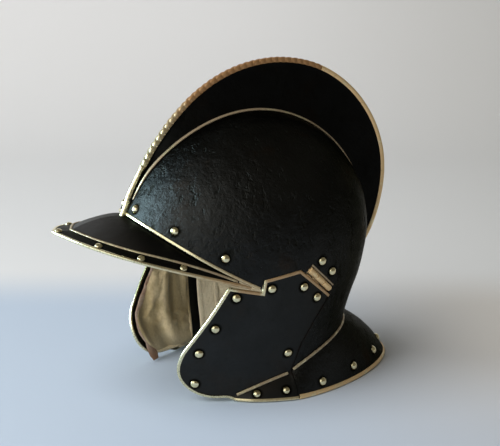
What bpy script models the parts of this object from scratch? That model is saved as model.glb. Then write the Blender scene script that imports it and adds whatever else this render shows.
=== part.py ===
"""Burgonet: a close-fitting steel helmet with a tall comb, a fixed peak over the face,
a turned-out neck guard and two hinged cheekpieces, trimmed with brass.

The helmet faces -Y and its left side is +X. It stands on the rims of its neck guard and
cheekpieces at Z = 0. Tables are in millimetres, measured from the upright axis of the
skull, which stands AXIS_Y behind the origin.
"""
import math

import bmesh
import bpy
import numpy as np
from mathutils import Matrix, Vector

MM = 0.001
GAP = 0.4 * MM                 # air between two pieces that touch on the real helmet
WELD = 0.004 * MM              # points closer than this are one, after a cut
AXIS_Y = 21.23 * MM            # upright axis of the skull, behind the origin

# Skull: one plate, raised into bowl, comb and neck guard.
SKULL_THICK = 1.8 * MM
WIDEST_Z = 125 * MM
CROWN_Z = 246 * MM
# One row for each level section: height, half width, reach forward, reach back.
# Above WIDEST_Z the rows still give the full reach, and the dome shrinks it.
SECTIONS = (
    (0, 78.5, 115, 82),
    (22, 80, 130, 83.5),
    (46.5, 85.5, 149, 85),
    (67, 88.5, 158, 90),
    (82, 91, 160, 96),
    (96, 92.5, 157, 102),
    (108, 93.8, 146, 105.5),
    (118, 94.8, 136, 108),
    (160, 96, 125.5, 113.5),
    (210, 96, 124, 115.5),
    (246, 96, 115, 114),
)

SKULL_LEVELS = (-0.78, -0.55, -0.3, 0, 0.2, 0.4, 0.6, 0.8, 1, 1.13, 1.26, 1.39, 1.52, 1.65, 1.78, 1.9)
SKULL_COLUMNS = 48

# Neck guard: from a bend round the nape out to a rim that stands on the floor.
BEND_SIDE_Z = 21.5 * MM
BEND_REAR_Z = 52 * MM
BEND_RISE = 3                  # how early it rises on its way back
BEND_END_ANGLE = -26           # degrees forward of the side, where the bend runs out
BEND_END_Z = 4 * MM
RIM_SIDE = 93 * MM
RIM_REAR = 144 * MM
RIM_FULLNESS = 1.58            # 2 is an ellipse, less is more pointed at the back
BELL = (0.63, 0.29)            # middle control point of the guard's rounded section

# Comb: edge line in the plane X = 0, from the brow over the top to the nape.
COMB_EDGE = (
    (-120, 160), (-117.5, 172.6), (-111.4, 187.5), (-101.8, 205.9), (-89, 225),
    (-70.9, 246.2), (-52, 263), (-32, 275.5), (-11.5, 283.8), (9, 288.3),
    (25, 289.5), (40.5, 288.5), (56, 285.6), (72.3, 280), (89, 270.8),
    (106.3, 256.8), (121.3, 238.7), (132.8, 217.2), (139.3, 193.3), (140, 173),
    (137.2, 153.4), (131.8, 134.2), (122.5, 115), (104.5, 95),
)
COMB_STATIONS = 40
ROPE_SHARE = 0.53              # share of the comb's edge that has the roped edging
COMB_EDGE_HALF = 1.7 * MM      # half thickness at the folded edge
COMB_WALL = 1.5 * MM
COMB_DEPTH = 10 * MM           # how far its root runs into the bowl
COMB_LEAST = 2.0 * MM          # least height, where it runs out at both ends
COMB_STRAIGHT = 5.2 * MM       # its walls lie folded together this far down from the edge
COMB_START = 4.0               # it starts this far above the brow, in millimetres
COMB_ROOT = ((0, 3.6), (0.12, 7.0), (0.3, 8.6), (0.8, 8.2), (1, 4.2))   # share of its run, half width

# Face opening: the brow is a straight sloping cut seen from the side.
TEMPLE = (-31.2, 103.6)
BROW_SLOPE = -0.63
BROW_SAG = 3.0                 # how far the brow hangs below the straight cut at its middle
BROW_FRONT = -122.0            # Y where it meets the comb
BROW_END_ANGLE = -13.2         # degrees, where the brow meets the cheekpiece

# Cheekpiece seen from the side: corners (Y, Z) and the radius of their rounding, from its
# rear foot forward, up the front edge and back over the top to the hinge, then down the rear.
CHEEK_CORNERS = (
    (4.0, 0.8, 0), (-48.0, 0.8, 5), (-54.0, 3.4, 7), (-123.8, 3.4, 34), (-59.8, 108.8, 0),
    (-31.0, 102.3, 0), (-29.4, 113.2, 0), (3.8, 118.9, 0), (36.8, 91.0, 0),
    (19.0, 65.0, 40), (8.8, 47.5, 30), (2.2, 21.0, 0),
)
CHEEK_FRAME = 9                # the first nine corners carry the brass edging
CHEEK_THICK = 1.5 * MM
CHEEK_EASE = 0.6 * MM          # extra room in its edging, on the inside
CHEEK_REAR_GAP = 0.9           # between its rear edge and the skull, in millimetres

# Peak: outline of its rim seen from above (X, Y), and where its brass line leaves it.
PEAK_RIM = (
    (0, -186.5), (16, -180.5), (31, -173.5), (45, -164.5), (58, -153), (68, -140),
    (76, -124), (82.5, -105), (87.5, -84), (91, -62), (92.5, -45), (92.5, -33),
)
PEAK_RIM_Z = 151.5 * MM        # height of the tip
PEAK_RIM_SLOPE = -0.303        # fall of the rim for each step backwards
PEAK_THICK = 1.4 * MM
PEAK_BAND = (17, 14.5, 13, 11.4, 7.0, 1.0)   # width between brass line and rim, tip to temple
PEAK_DIP = 3 * MM              # how far the band dips at the front before the tip
PEAK_END_ANGLE = -13.4
PEAK_FAN = 1.26                # how its rulings spread between tip and temple
PEAK_END = 0.92                # share of the run to the temple where the plate stops
PEAK_BRASS_END = 0.895         # and its edging
PEAK_LINE_END = 0.86
PEAK_TUCK = 12 * MM            # how far it runs up inside the brow

# Brass edging: a channel folded over the plate's edge.
BRASS = 0.7 * MM
BIND_CLEAR = 0.35 * MM
COMB_LEG = 4.6 * MM
BROW_LEG = 2.7 * MM
NECK_LEG = 4.2 * MM
PEAK_LEG = 2.8 * MM
CHEEK_LEG = 3.6 * MM
NECK_END = 4.2                 # degrees behind the side, where the neck guard's edging ends
RIM_FLAT = 0.25 * MM           # how much the floor plane takes off the rim's edging
WIRE = 1.25 * MM               # radius of the brass lines laid on the plates

# Rivets.
RIVET_R = 3.6 * MM
RIVET_H = 2.5 * MM
SMALL_RIVET = 0.85             # scale of those on the peak and on the cheekpiece's flange
BROW_RIVETS = ((-115.5, 167.1), (-96.4, 155), (-61.5, 133.7))     # (Y, Z) seen from the side
CHEEK_RIVETS = (
    (-53.2, 99), (-69.8, 71.9), (-81.7, 48.9), (-81.4, 17.8), (-2.7, 41.9), (-22.4, 104.7),
    (-31, 7.4), (-6, 9.2),
)
NECK_RIVETS = (18, 37.5, 58, 79)     # degrees behind the side
NECK_RIVET_LEVEL = -0.78
PEAK_RIVETS = (0, 0.26, 0.464, 0.65)  # shares of the run from tip to temple

# Hinge: its barrel sits in the gap between skull and cheekpiece, its leaves lie inside.
HINGE_ENDS = ((11.8, 118.8), (37.2, 95.5))     # (Y, Z) of the run it follows on the plate
HINGE_LENGTH = 33 * MM
HINGE_R = 2.75 * MM
HINGE_SUNK = 0.9 * MM          # depth of its axis under the plate's outer face
PIN_R = 1.1 * MM
HINGE_BORE = 1.5 * MM
HINGE_WINDOW = 3.9             # half height of the notch cut for it, in millimetres
HINGE_END_GAP = 1.4            # and its air at each end
KNUCKLE_GAP = 0.5 * MM
LEAF_THICK = 0.8 * MM
LEAF_LONG = 17 * MM
LEAF_WIDE = 26 * MM
LEAF_DROP = 3.5 * MM           # depth of a leaf's outer face beside the barrel
LEAF_TILT = 0.10
UPPER_RIVETS = ((25.4, 123.9), (37.8, 112.3))   # (Y, Z) seen from the side
LOWER_RIVETS = ((7.9, 102.9), (22.4, 91.1))
SHANK_R = 1.3 * MM
HOLE_R = 1.9 * MM
OPEN_LIMIT = 100

# Lining.
LINING_THICK = 2.0 * MM
SKULL_LINING_DEPTH = 6.0 * MM  # from the steel's outer face to the lining's
CHEEK_LINING_DEPTH = 2.4 * MM

COLOURS = {                    # base colour, metallic, roughness
    "blackened_steel": ((0.035, 0.038, 0.042, 1), 1.0, 0.42),
    "brass": ((0.72, 0.52, 0.25, 1), 1.0, 0.28),
    "lining_cloth": ((0.42, 0.36, 0.22, 1), 0.0, 0.9),
}


# ---------------------------------------------------------------- shape of the plates

def smooth_line(xs, ys):
    """A smooth function through the points of a short table."""
    xs, ys = np.array(xs, float), np.array(ys, float)
    slopes = np.gradient(ys, xs)

    def value(x):
        x = min(max(x, xs[0]), xs[-1])
        i = min(max(int(np.searchsorted(xs, x)) - 1, 0), len(xs) - 2)
        step = xs[i + 1] - xs[i]
        t = (x - xs[i]) / step
        return float((2 * t**3 - 3 * t**2 + 1) * ys[i] + (t**3 - 2 * t**2 + t) * step * slopes[i]
                     + (3 * t**2 - 2 * t**3) * ys[i + 1] + (t**3 - t**2) * step * slopes[i + 1])
    return value


HEIGHTS = [row[0] * MM for row in SECTIONS]
HALF_WIDTH, FRONT_REACH, REAR_REACH = (
    smooth_line(HEIGHTS, [row[column] * MM for row in SECTIONS]) for column in (1, 2, 3))


def section(z):
    """Half width, forward reach and backward reach of the level section at height z."""
    up = max(0.0, (z - WIDEST_Z) / (CROWN_Z - WIDEST_Z))
    shrink = math.sqrt(max(0.0, 1 - up * up))
    return HALF_WIDTH(z) * shrink, FRONT_REACH(z) * shrink, REAR_REACH(z) * shrink


def body_point(angle, z):
    """Outer face at an angle in degrees: -90 front, 0 left side, 90 rear, beyond: right."""
    side, front, rear = section(z)
    turn = math.radians(angle)
    reach = rear if math.sin(turn) > 0 else front
    return Vector((side * math.cos(turn), reach * math.sin(turn) + AXIS_Y, z))


def bend_height(angle):
    """Height of the bend where the nape turns out into the neck guard."""
    sine = math.sin(math.radians(angle))
    if sine >= 0:
        behind = math.degrees(math.asin(sine)) / 90
        return BEND_SIDE_Z + (BEND_REAR_Z - BEND_SIDE_Z) * (1 - (1 - behind)**BEND_RISE)
    part = min(1.0, sine / math.sin(math.radians(BEND_END_ANGLE)))
    return BEND_SIDE_Z + (BEND_END_Z - BEND_SIDE_Z) * part**1.15


def rim_point(angle):
    """Rim of the neck guard, and of the cheekpiece's flange forward of the side."""
    turn = math.radians(angle)
    cosine, sine = math.cos(turn), math.sin(turn)
    if sine >= 0:
        power = 2 / RIM_FULLNESS
        width = math.copysign(abs(cosine)**power, cosine)
        return Vector((RIM_SIDE * width, RIM_REAR * sine**power + AXIS_Y, 0))
    bend = body_point(angle, bend_height(angle))
    left = max(0.0, 1 - sine / math.sin(math.radians(BEND_END_ANGLE)))
    flare = (RIM_SIDE - section(BEND_SIDE_Z)[0]) * left**0.6
    foot = body_point(angle, 0).lerp(bend, min(1, 3 * left))
    return Vector((foot.x + math.copysign(flare, cosine), foot.y, 0))


def skull_point(angle, level):
    """Outer face by level: -1 rim, 0 bend, 1 widest height, 2 crown."""
    if level > 1:
        climb = math.radians(90 * (level - 1))
        return body_point(angle, WIDEST_Z + (CROWN_Z - WIDEST_Z) * math.sin(climb))
    low = bend_height(angle)
    if level >= 0:
        return body_point(angle, low + (WIDEST_Z - low) * level)
    bend, rim, t = body_point(angle, low), rim_point(angle), -level
    out = 2 * t * (1 - t) * BELL[0] + t * t
    down = 2 * t * (1 - t) * BELL[1] + t * t
    return Vector((bend.x + (rim.x - bend.x) * out, bend.y + (rim.y - bend.y) * out,
                   bend.z + (rim.z - bend.z) * down))


def skull_normal(angle, level):
    """Outward normal of the outer face."""
    if level > 1.97:
        return Vector((0, 0, 1))
    across = skull_point(angle + 0.5, level) - skull_point(angle - 0.5, level)
    above, below = min(level + 0.01, 2), max(level - 0.01, -1)
    along = skull_point(angle, above) - skull_point(angle, below)
    return across.cross(along).normalized()


def sunk_point(angle, level, depth):
    """A point at a depth under the outer face."""
    return skull_point(angle, level) - skull_normal(angle, level) * depth


def level_at(angle, z):
    """The level of a height at an angle."""
    if z >= WIDEST_Z:
        return 1 + math.asin(min(1, (z - WIDEST_Z) / (CROWN_Z - WIDEST_Z))) / math.radians(90)
    low = bend_height(angle)
    if z >= low:
        return (z - low) / (WIDEST_Z - low)
    return -math.sqrt(max(0.0, 1 - z / low))


def side_place(y, z, side=1):
    """Angle and level of the point seen from the side at (y, z), in table millimetres."""
    y, z = y * MM, z * MM
    for _ in range(2):
        front_rear = section(z)[2 if y > 0 else 1]
        angle = math.degrees(math.asin(max(-1, min(1, y / front_rear))))
        if z < bend_height(angle):
            angle = flare_angle(y, z)
    level = level_at(angle, z) if z >= bend_height(angle) else flare_level(angle, z)
    return (angle if side > 0 else 180 - angle), level


def flare_level(angle, z):
    """Level on the turned-out part where it is at height z."""
    low, high = -1.0, 0.0
    for _ in range(24):
        middle = (low + high) / 2
        if skull_point(angle, middle).z < z:
            low = middle
        else:
            high = middle
    return (low + high) / 2


def flare_angle(y, z):
    """Angle on the turned-out part that is seen at (y, z) from the side."""
    low, high = -60.0, 89.0
    for _ in range(24):
        middle = (low + high) / 2
        if skull_point(middle, flare_level(middle, z)).y - AXIS_Y < y:
            low = middle
        else:
            high = middle
    return (low + high) / 2


def brow_at(y):
    """Height of the brow line in table millimetres."""
    share = min(1, max(0, (y - TEMPLE[0]) / (BROW_FRONT - TEMPLE[0])))
    return TEMPLE[1] + BROW_SLOPE * (y - TEMPLE[0]) - 4 * BROW_SAG * share * (1 - share)


def brow_level(angle):
    """Level of the brow cut at an angle."""
    z = TEMPLE[1] * MM
    for _ in range(12):
        z = 0.5 * z + 0.5 * MM * brow_at((body_point(angle, z).y - AXIS_Y) / MM)
    return level_at(angle, z)


# ---------------------------------------------------------------- making objects

def flip_x(point):
    return Vector((-point.x, point.y, point.z))


def clear_scene():
    for old in list(bpy.data.objects):
        bpy.data.objects.remove(old, do_unlink=True)


def make_material(name):
    colour, metallic, roughness = COLOURS[name]
    material = bpy.data.materials.new(name)
    material.use_nodes = True
    shader = material.node_tree.nodes["Principled BSDF"]
    shader.inputs["Base Color"].default_value = colour
    shader.inputs["Metallic"].default_value = metallic
    shader.inputs["Roughness"].default_value = roughness
    material.diffuse_color = colour
    return material


def mesh_from(name, points, faces):
    """A mesh with its faces turned outwards."""
    data = bpy.data.meshes.new(name)
    data.from_pydata([tuple(point) for point in points], [], faces)
    work = bmesh.new()
    work.from_mesh(data)
    bmesh.ops.recalc_face_normals(work, faces=work.faces)
    if work.calc_volume(signed=True) < 0:
        bmesh.ops.reverse_faces(work, faces=work.faces)
    work.to_mesh(data)
    work.free()
    return data


def loft(name, rings, closed_rings=True, closed_path=False, caps=True):
    """A skin through rings of points. A ring of one point is a pole, and ends can be capped."""
    points, starts = [], []
    for ring in rings:
        starts.append(len(points))
        points.extend(ring)
    faces = []
    pairs = list(zip(range(len(rings)), range(1, len(rings))))
    if closed_path:
        pairs.append((len(rings) - 1, 0))
    for a, b in pairs:
        count = max(len(rings[a]), len(rings[b]))
        for i in range(count if closed_rings else count - 1):
            j = (i + 1) % count
            if len(rings[a]) == 1:
                faces.append((starts[a], starts[b] + j, starts[b] + i))
            elif len(rings[b]) == 1:
                faces.append((starts[a] + i, starts[a] + j, starts[b]))
            else:
                faces.append((starts[a] + i, starts[a] + j, starts[b] + j, starts[b] + i))
    if closed_rings and caps and not closed_path:
        for index, ring in ((0, rings[0]), (-1, rings[-1])):
            if len(ring) > 1:
                faces.append([starts[index] + i for i in range(len(ring))])
    return mesh_from(name, points, faces)


def combine(target, other, operation):
    """Boolean of two objects, applied. The second object is used up."""
    modifier = target.modifiers.new("combine", "BOOLEAN")
    modifier.operation = operation
    modifier.solver = "EXACT"
    modifier.object = other
    bpy.context.view_layer.update()
    graph = bpy.context.evaluated_depsgraph_get()
    result = bpy.data.meshes.new_from_object(target.evaluated_get(graph))
    target.modifiers.clear()
    target.data = result
    work = bmesh.new()
    work.from_mesh(result)
    bmesh.ops.remove_doubles(work, verts=work.verts, dist=WELD)
    bmesh.ops.dissolve_degenerate(work, edges=work.edges, dist=WELD)
    work.to_mesh(result)
    work.free()
    bpy.data.objects.remove(other, do_unlink=True)


def thickened(name, data, thickness):
    """A plate from an open surface that faces outwards, thickened inwards by Solidify."""
    obj = bpy.data.objects.new(name, data)
    CUTTERS.objects.link(obj)
    modifier = obj.modifiers.new("plate", "SOLIDIFY")
    modifier.thickness = thickness
    modifier.offset = -1
    modifier.use_even_offset = True
    bpy.context.view_layer.update()
    graph = bpy.context.evaluated_depsgraph_get()
    solid = bpy.data.meshes.new_from_object(obj.evaluated_get(graph))
    obj.modifiers.clear()
    obj.data = solid
    return obj


def side_prism(outline, x_low, x_high):
    """A prism with an outline (Y, Z) in table millimetres, along X between two metres."""
    rings = [[Vector((x, y * MM + AXIS_Y, z * MM)) for y, z in outline] for x in (x_low, x_high)]
    obj = bpy.data.objects.new("cutter", loft("cutter", rings))
    CUTTERS.objects.link(obj)
    obj.hide_render = True
    obj.display_type = "WIRE"
    return obj


def inset(outline, amounts):
    """Moves each edge of a closed outline inwards, by one amount an edge, in its own units."""
    count = len(outline)
    points = [np.array(point, float) for point in outline]
    area = sum(points[i][0] * points[(i + 1) % count][1] - points[(i + 1) % count][0] * points[i][1]
               for i in range(count))
    turn = 1 if area > 0 else -1
    lines = []
    for i in range(count):
        run = points[(i + 1) % count] - points[i]
        run /= np.linalg.norm(run)
        inward = np.array((-run[1], run[0])) * turn
        lines.append((points[i] + inward * amounts[i], run))
    result = []
    for i in range(count):
        (p, d), (q, e) = lines[i - 1], lines[i]
        if abs(d[0] * e[1] - d[1] * e[0]) < 1e-5:
            result.append(tuple(q))
            continue
        along = np.linalg.solve(np.array((d, -e)).T, q - p)[0]
        result.append(tuple(p + d * along))
    return result


def rounded(corners):
    """A closed outline with its corners rounded by arcs."""
    outline = []
    count = len(corners)
    for i, (y, z, radius) in enumerate(corners):
        here = np.array((y, z))
        if not radius:
            outline.append((y, z))
            continue
        before = np.array(corners[i - 1][:2]) - here
        after = np.array(corners[(i + 1) % count][:2]) - here
        before /= np.linalg.norm(before)
        after /= np.linalg.norm(after)
        half = math.acos(float(before @ after)) / 2
        centre = here + (before + after) / np.linalg.norm(before + after) * radius / math.sin(half)
        start = here + before * radius / math.tan(half) - centre
        end = here + after * radius / math.tan(half) - centre
        sweep_angle = math.acos(max(-1, min(1, float(start @ end) / radius**2)))
        pieces = max(2, math.ceil(sweep_angle / math.radians(13)))
        turn = math.copysign(1, start[0] * end[1] - start[1] * end[0])
        for k in range(pieces + 1):
            step = turn * sweep_angle * k / pieces
            outline.append((float(centre[0] + start[0] * math.cos(step) - start[1] * math.sin(step)),
                            float(centre[1] + start[0] * math.sin(step) + start[1] * math.cos(step))))
    return outline


def refine(points, step):
    """Adds points along a polyline so that no step is longer than this."""
    result = []
    for a, b in zip(points[:-1], points[1:]):
        pieces = max(1, math.ceil(math.dist(a, b) / step))
        result += [tuple(np.array(a) + (np.array(b) - np.array(a)) * k / pieces) for k in range(pieces)]
    return result + [points[-1]]


def sweep(name, path, outs, profile, closed=False):
    """A bar along a path, with one section or a list of one for each point. A section's first
    number runs across the path within the plate, and the second along the plate's normal."""
    count = len(path)
    sections = profile if isinstance(profile[0], list) else [profile] * count
    rings = []
    for i in range(count):
        before = path[i - 1] if i or closed else path[0]
        after = path[(i + 1) % count] if i < count - 1 or closed else path[-1]
        back, ahead = (path[i] - before), (after - path[i])
        back = back.normalized() if back.length else ahead.normalized()
        ahead = ahead.normalized() if ahead.length else back
        tangent = (back + ahead).normalized()
        normal = (outs[i] - tangent * outs[i].dot(tangent)).normalized()
        across = normal.cross(tangent)
        stretch = 1 / max(0.55, tangent.dot(ahead))
        rings.append([path[i] + across * a * stretch + normal * b for a, b in sections[i]])
    return loft(name, rings, closed_path=closed)


def channel(thickness, leg, flip=1):
    """Section of the brass edging: a channel that opens towards the plate."""
    inner, outer = BIND_CLEAR, BIND_CLEAR + BRASS
    low, high = -thickness - inner, inner
    profile = [(0, high + BRASS), (0, low - BRASS), (leg, low - BRASS), (leg, low),
               (BRASS, low), (BRASS, high), (leg, high), (leg, high + BRASS)]
    return [(a * flip, b) for a, b in profile]


def round_section(radius, lift, sides=6):
    """Section of a brass line laid on a plate."""
    return [(radius * math.cos(2 * math.pi * k / sides), lift + radius * math.sin(2 * math.pi * k / sides))
            for k in range(sides)]


def mirrored(source, name, collection):
    """A left-hand piece made again for the right side."""
    work = bmesh.new()
    work.from_mesh(source.data)
    for vertex in work.verts:
        vertex.co.x = -vertex.co.x
    bmesh.ops.reverse_faces(work, faces=work.faces)
    data = bpy.data.meshes.new(name)
    work.to_mesh(data)
    work.free()
    obj = bpy.data.objects.new(name, data)
    collection.objects.link(obj)
    return obj


def place_frame(point, normal):
    """Matrix of a piece that stands on a plate with its own Z along the normal."""
    turn = normal.to_track_quat("Z", "Y").to_matrix().to_4x4()
    return Matrix.Translation(point) @ turn


def rivet_mesh(scale=1):
    """Domed head: the upper half of a flattened sphere, closed below."""
    work = bmesh.new()
    bmesh.ops.create_uvsphere(work, u_segments=8, v_segments=4, radius=RIVET_R * scale)
    geometry = work.verts[:] + work.edges[:] + work.faces[:]
    bmesh.ops.bisect_plane(work, geom=geometry, plane_co=(0, 0, 0), plane_no=(0, 0, 1), clear_inner=True)
    bmesh.ops.holes_fill(work, edges=[edge for edge in work.edges if edge.is_boundary])
    bmesh.ops.scale(work, vec=(1, 1, RIVET_H / RIVET_R), verts=work.verts)
    bmesh.ops.recalc_face_normals(work, faces=work.faces)
    data = bpy.data.meshes.new("rivet")
    work.to_mesh(data)
    work.free()
    return data


def cylinder(radius, low, high, frame, sides=12):
    """A closed cylinder along the local Z of a frame, between two heights, as an object."""
    work = bmesh.new()
    place = frame @ Matrix.Translation((0, 0, (low + high) / 2))
    bmesh.ops.create_cone(work, cap_ends=True, segments=sides, radius1=radius, radius2=radius,
                          depth=high - low, matrix=place)
    data = bpy.data.meshes.new("cylinder")
    work.to_mesh(data)
    work.free()
    obj = bpy.data.objects.new("cylinder", data)
    CUTTERS.objects.link(obj)
    return obj


def finish(obj, name, material, collection, smooth=40):
    """Names a piece, gives it its material and moves it into the helmet's collection."""
    obj.name = name
    obj.data.name = name
    obj.hide_render = False
    obj.display_type = "TEXTURED"
    for owner in list(obj.users_collection):
        owner.objects.unlink(obj)
    collection.objects.link(obj)
    obj.data.materials.clear()
    obj.data.materials.append(MATERIALS[material])
    obj.data.shade_smooth()
    obj.data.set_sharp_from_angle(angle=math.radians(smooth))
    return obj


def new_piece(name, data, material, collection):
    obj = bpy.data.objects.new(name, data)
    collection.objects.link(obj)
    return finish(obj, name, material, collection)


# ---------------------------------------------------------------- skull

def around(columns):
    """Angles of a full turn, starting at the front."""
    return [360 * k / columns - 90 for k in range(columns)]


def rim_edge_level(angle, distance):
    """Level on the flare that lies a distance in from the outer face of the rim's edging."""
    normal_z = skull_normal(angle, -0.97).z
    reach = SKULL_THICK + BIND_CLEAR + BRASS
    foot = reach * normal_z - RIM_FLAT
    return flare_level(angle, max(0.0, foot) + distance * math.sqrt(1 - normal_z**2))


def skull_solid(name, depth, run_out):
    """The bowl, nape and neck guard as a full solid, at a depth under the outer face."""
    angles = around(SKULL_COLUMNS)
    edge = BIND_CLEAR + BRASS
    levels = [rim_edge_level(angle, edge) for angle in angles]
    foot = [sunk_point(a, level, depth) for a, level in zip(angles, levels)]
    above = [sunk_point(a, level + 0.08, depth) for a, level in zip(angles, levels)]
    if run_out:
        below = [p + (p - q).normalized() * run_out for p, q in zip(foot, above)]
        start = [[Vector((0, AXIS_Y, -run_out))], below, foot]
    else:
        inner = [sunk_point(a, level, 2 * SKULL_THICK) for a, level in zip(angles, levels)]
        start = [[Vector((0, AXIS_Y, edge))], inner, foot]
    rings = start + [[sunk_point(a, level, depth) for a in angles] for level in SKULL_LEVELS]
    rings.append([Vector((0, AXIS_Y, CROWN_Z - depth))])
    obj = bpy.data.objects.new(name, loft(name, rings))
    CUTTERS.objects.link(obj)
    return obj


def ridge_point(x, direction):
    """Outer face of the bowl at a distance x from the middle plane, in a direction (degrees,
    0 rear, 90 up, 180 front) seen from the side, from the axis at the widest height."""
    turn = math.radians(direction)
    cosine, sine = math.cos(turn), math.sin(turn)
    rise = CROWN_Z - WIDEST_Z
    radius = 0.12
    for _ in range(30):
        z = WIDEST_Z + radius * sine
        reach = REAR_REACH(z) if cosine > 0 else FRONT_REACH(z)
        side = HALF_WIDTH(z)
        up = (sine / rise)**2 if sine > 0 else 0
        radius = 0.5 * radius + 0.5 * math.sqrt((1 - (x / side)**2) / ((cosine / reach)**2 + up))
    return Vector((x, AXIS_Y + radius * cosine, WIDEST_Z + radius * sine))


def ridge_normal(x, direction):
    across = ridge_point(x + MM, direction) - ridge_point(x - MM, direction)
    along = ridge_point(x, direction - 0.5) - ridge_point(x, direction + 0.5)
    return across.cross(along).normalized()


def comb_outline():
    """The comb's edge as points evenly spread along a smooth line, in table millimetres."""
    steps = [0.0]
    for a, b in zip(COMB_EDGE[:-1], COMB_EDGE[1:]):
        steps.append(steps[-1] + math.dist(a, b))
    across, up = (smooth_line(steps, [row[k] for row in COMB_EDGE]) for k in (0, 1))
    length = steps[-1] - COMB_START
    runs = [COMB_START + length * k / COMB_STATIONS for k in range(COMB_STATIONS + 1)]
    return [(across(run), up(run)) for run in runs]


def comb_directions():
    return [math.degrees(math.atan2(z - WIDEST_Z / MM, y)) for y, z in COMB_OUTLINE]


def comb_root_half(direction):
    """Half width of the comb where it rises from the bowl."""
    first, last = comb_directions()[0], comb_directions()[-1]
    share = (first - direction) / (first - last)
    return smooth_line([row[0] for row in COMB_ROOT], [row[1] * MM for row in COMB_ROOT])(share)


def comb_station(y, z, direction):
    """Foot on the bowl, direction outwards, height and depth of the straight part at the edge."""
    turn = math.radians(direction)
    outward = Vector((0, math.cos(turn), math.sin(turn)))
    foot = ridge_point(0, direction)
    height = max((Vector((0, y * MM + AXIS_Y, z * MM)) - foot).dot(outward), COMB_LEAST)
    return foot, outward, height, min(COMB_STRAIGHT, 0.75 * height)


def comb_solid(name, hollow):
    """The comb as a wedge, or the wedge-shaped hollow inside it."""
    rings = []
    stations = list(zip(COMB_OUTLINE, comb_directions()))
    for (y, z), direction in stations[1:-1] if hollow else stations:
        foot, outward, height, straight = comb_station(y, z, direction)
        swell = comb_root_half(direction) - COMB_EDGE_HALF
        slope = height - straight
        if hollow:
            top = max(slope - MM, -SKULL_THICK - MM)
            lifts = [top, top * 0.66, top * 0.33, min(0, top), -COMB_DEPTH - 4 * MM]
            if top < 0:
                lifts = [top - MM * k for k in range(4)] + lifts[-1:]
        else:
            lifts = [height, slope, slope * 0.5, 0, -COMB_DEPTH]
        halves = [COMB_EDGE_HALF + swell * (1 - min(1, max(0, lift / slope)))**1.2 for lift in lifts]
        if hollow:
            halves = [max(half - COMB_WALL, 0.4 * MM) for half in halves]
        left = [foot + outward * lift + Vector((half, 0, 0)) for half, lift in zip(halves, lifts)]
        rings.append(left + [flip_x(point) for point in reversed(left)])
    obj = bpy.data.objects.new(name, loft(name, rings))
    CUTTERS.objects.link(obj)
    return obj


def face_opening():
    """Everything in front of the skull's edge, seen from the side."""
    notch, rear = CHEEK_CORNERS[5], rounded(CHEEK_CORNERS[6:] + ((4.0, 0.8, 0),))
    brow = [(y, brow_at(y)) for y in np.linspace(-260, notch[0] - 0.4, 24)]
    brow[0] = (-260, brow_at(-260))
    outline = [(-260, -30)] + brow + rear + [(4.2, -30)]
    edge = (BIND_CLEAR + BRASS) / MM
    rear_edges = len(outline) - len(brow) - 4
    amounts = [0] + [-edge] * (len(brow) - 1) + [-0.5] * 3 + [-CHEEK_REAR_GAP] * rear_edges + [0]
    return side_prism(inset(outline, amounts), -0.2, 0.2)


def make_skull(collection):
    skull = skull_solid("skull", 0, 0)
    combine(skull, comb_solid("comb", hollow=False), "UNION")
    combine(skull, skull_solid("bowl hollow", SKULL_THICK, 6 * MM), "DIFFERENCE")
    combine(skull, comb_solid("comb hollow", hollow=True), "DIFFERENCE")
    combine(skull, face_opening(), "DIFFERENCE")
    for side in (1, -1):
        for cutter in hinge_cutters(side):
            combine(skull, cutter, "DIFFERENCE")
    return finish(skull, "skull", "blackened_steel", collection)


def make_skull_lining(collection):
    angles = around(32)
    levels = (-0.1, 0.12, 0.4, 0.7, 1, 1.18, 1.36, 1.54, 1.72, 1.88)
    rings = [[sunk_point(a, level, SKULL_LINING_DEPTH) for a in angles] for level in levels]
    rings.append([Vector((0, AXIS_Y, CROWN_Z - SKULL_LINING_DEPTH))])
    lining = thickened("skull_lining", loft("skull_lining", rings, caps=False), LINING_THICK)
    outline = [(-260, -30)] + [(y, brow_at(y) + 4) for y in (-260, -120, -90, -60, -40)]
    outline += [(-24, 100), (-24, 22), (0, 26), (6, 33), (14, 40), (30, 47), (60, 56), (90, 60)]
    outline += [(160, 60), (160, -30)]
    combine(lining, side_prism(outline, -0.2, 0.2), "DIFFERENCE")
    return finish(lining, "skull_lining", "lining_cloth", collection)


# ---------------------------------------------------------------- brass on the skull

def edge_bar(name, path, outs, profile, collection, floor=False):
    obj = new_piece(name, sweep(name, path, outs, profile), "brass", collection)
    if floor:
        work = bmesh.new()
        work.from_mesh(obj.data)
        geometry = work.verts[:] + work.edges[:] + work.faces[:]
        bmesh.ops.bisect_plane(work, geom=geometry, plane_co=(0, 0, 0), plane_no=(0, 0, 1),
                               clear_inner=True)
        bmesh.ops.holes_fill(work, edges=[edge for edge in work.edges if edge.is_boundary])
        bmesh.ops.recalc_face_normals(work, faces=work.faces)
        work.to_mesh(obj.data)
        work.free()
    return obj


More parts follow.
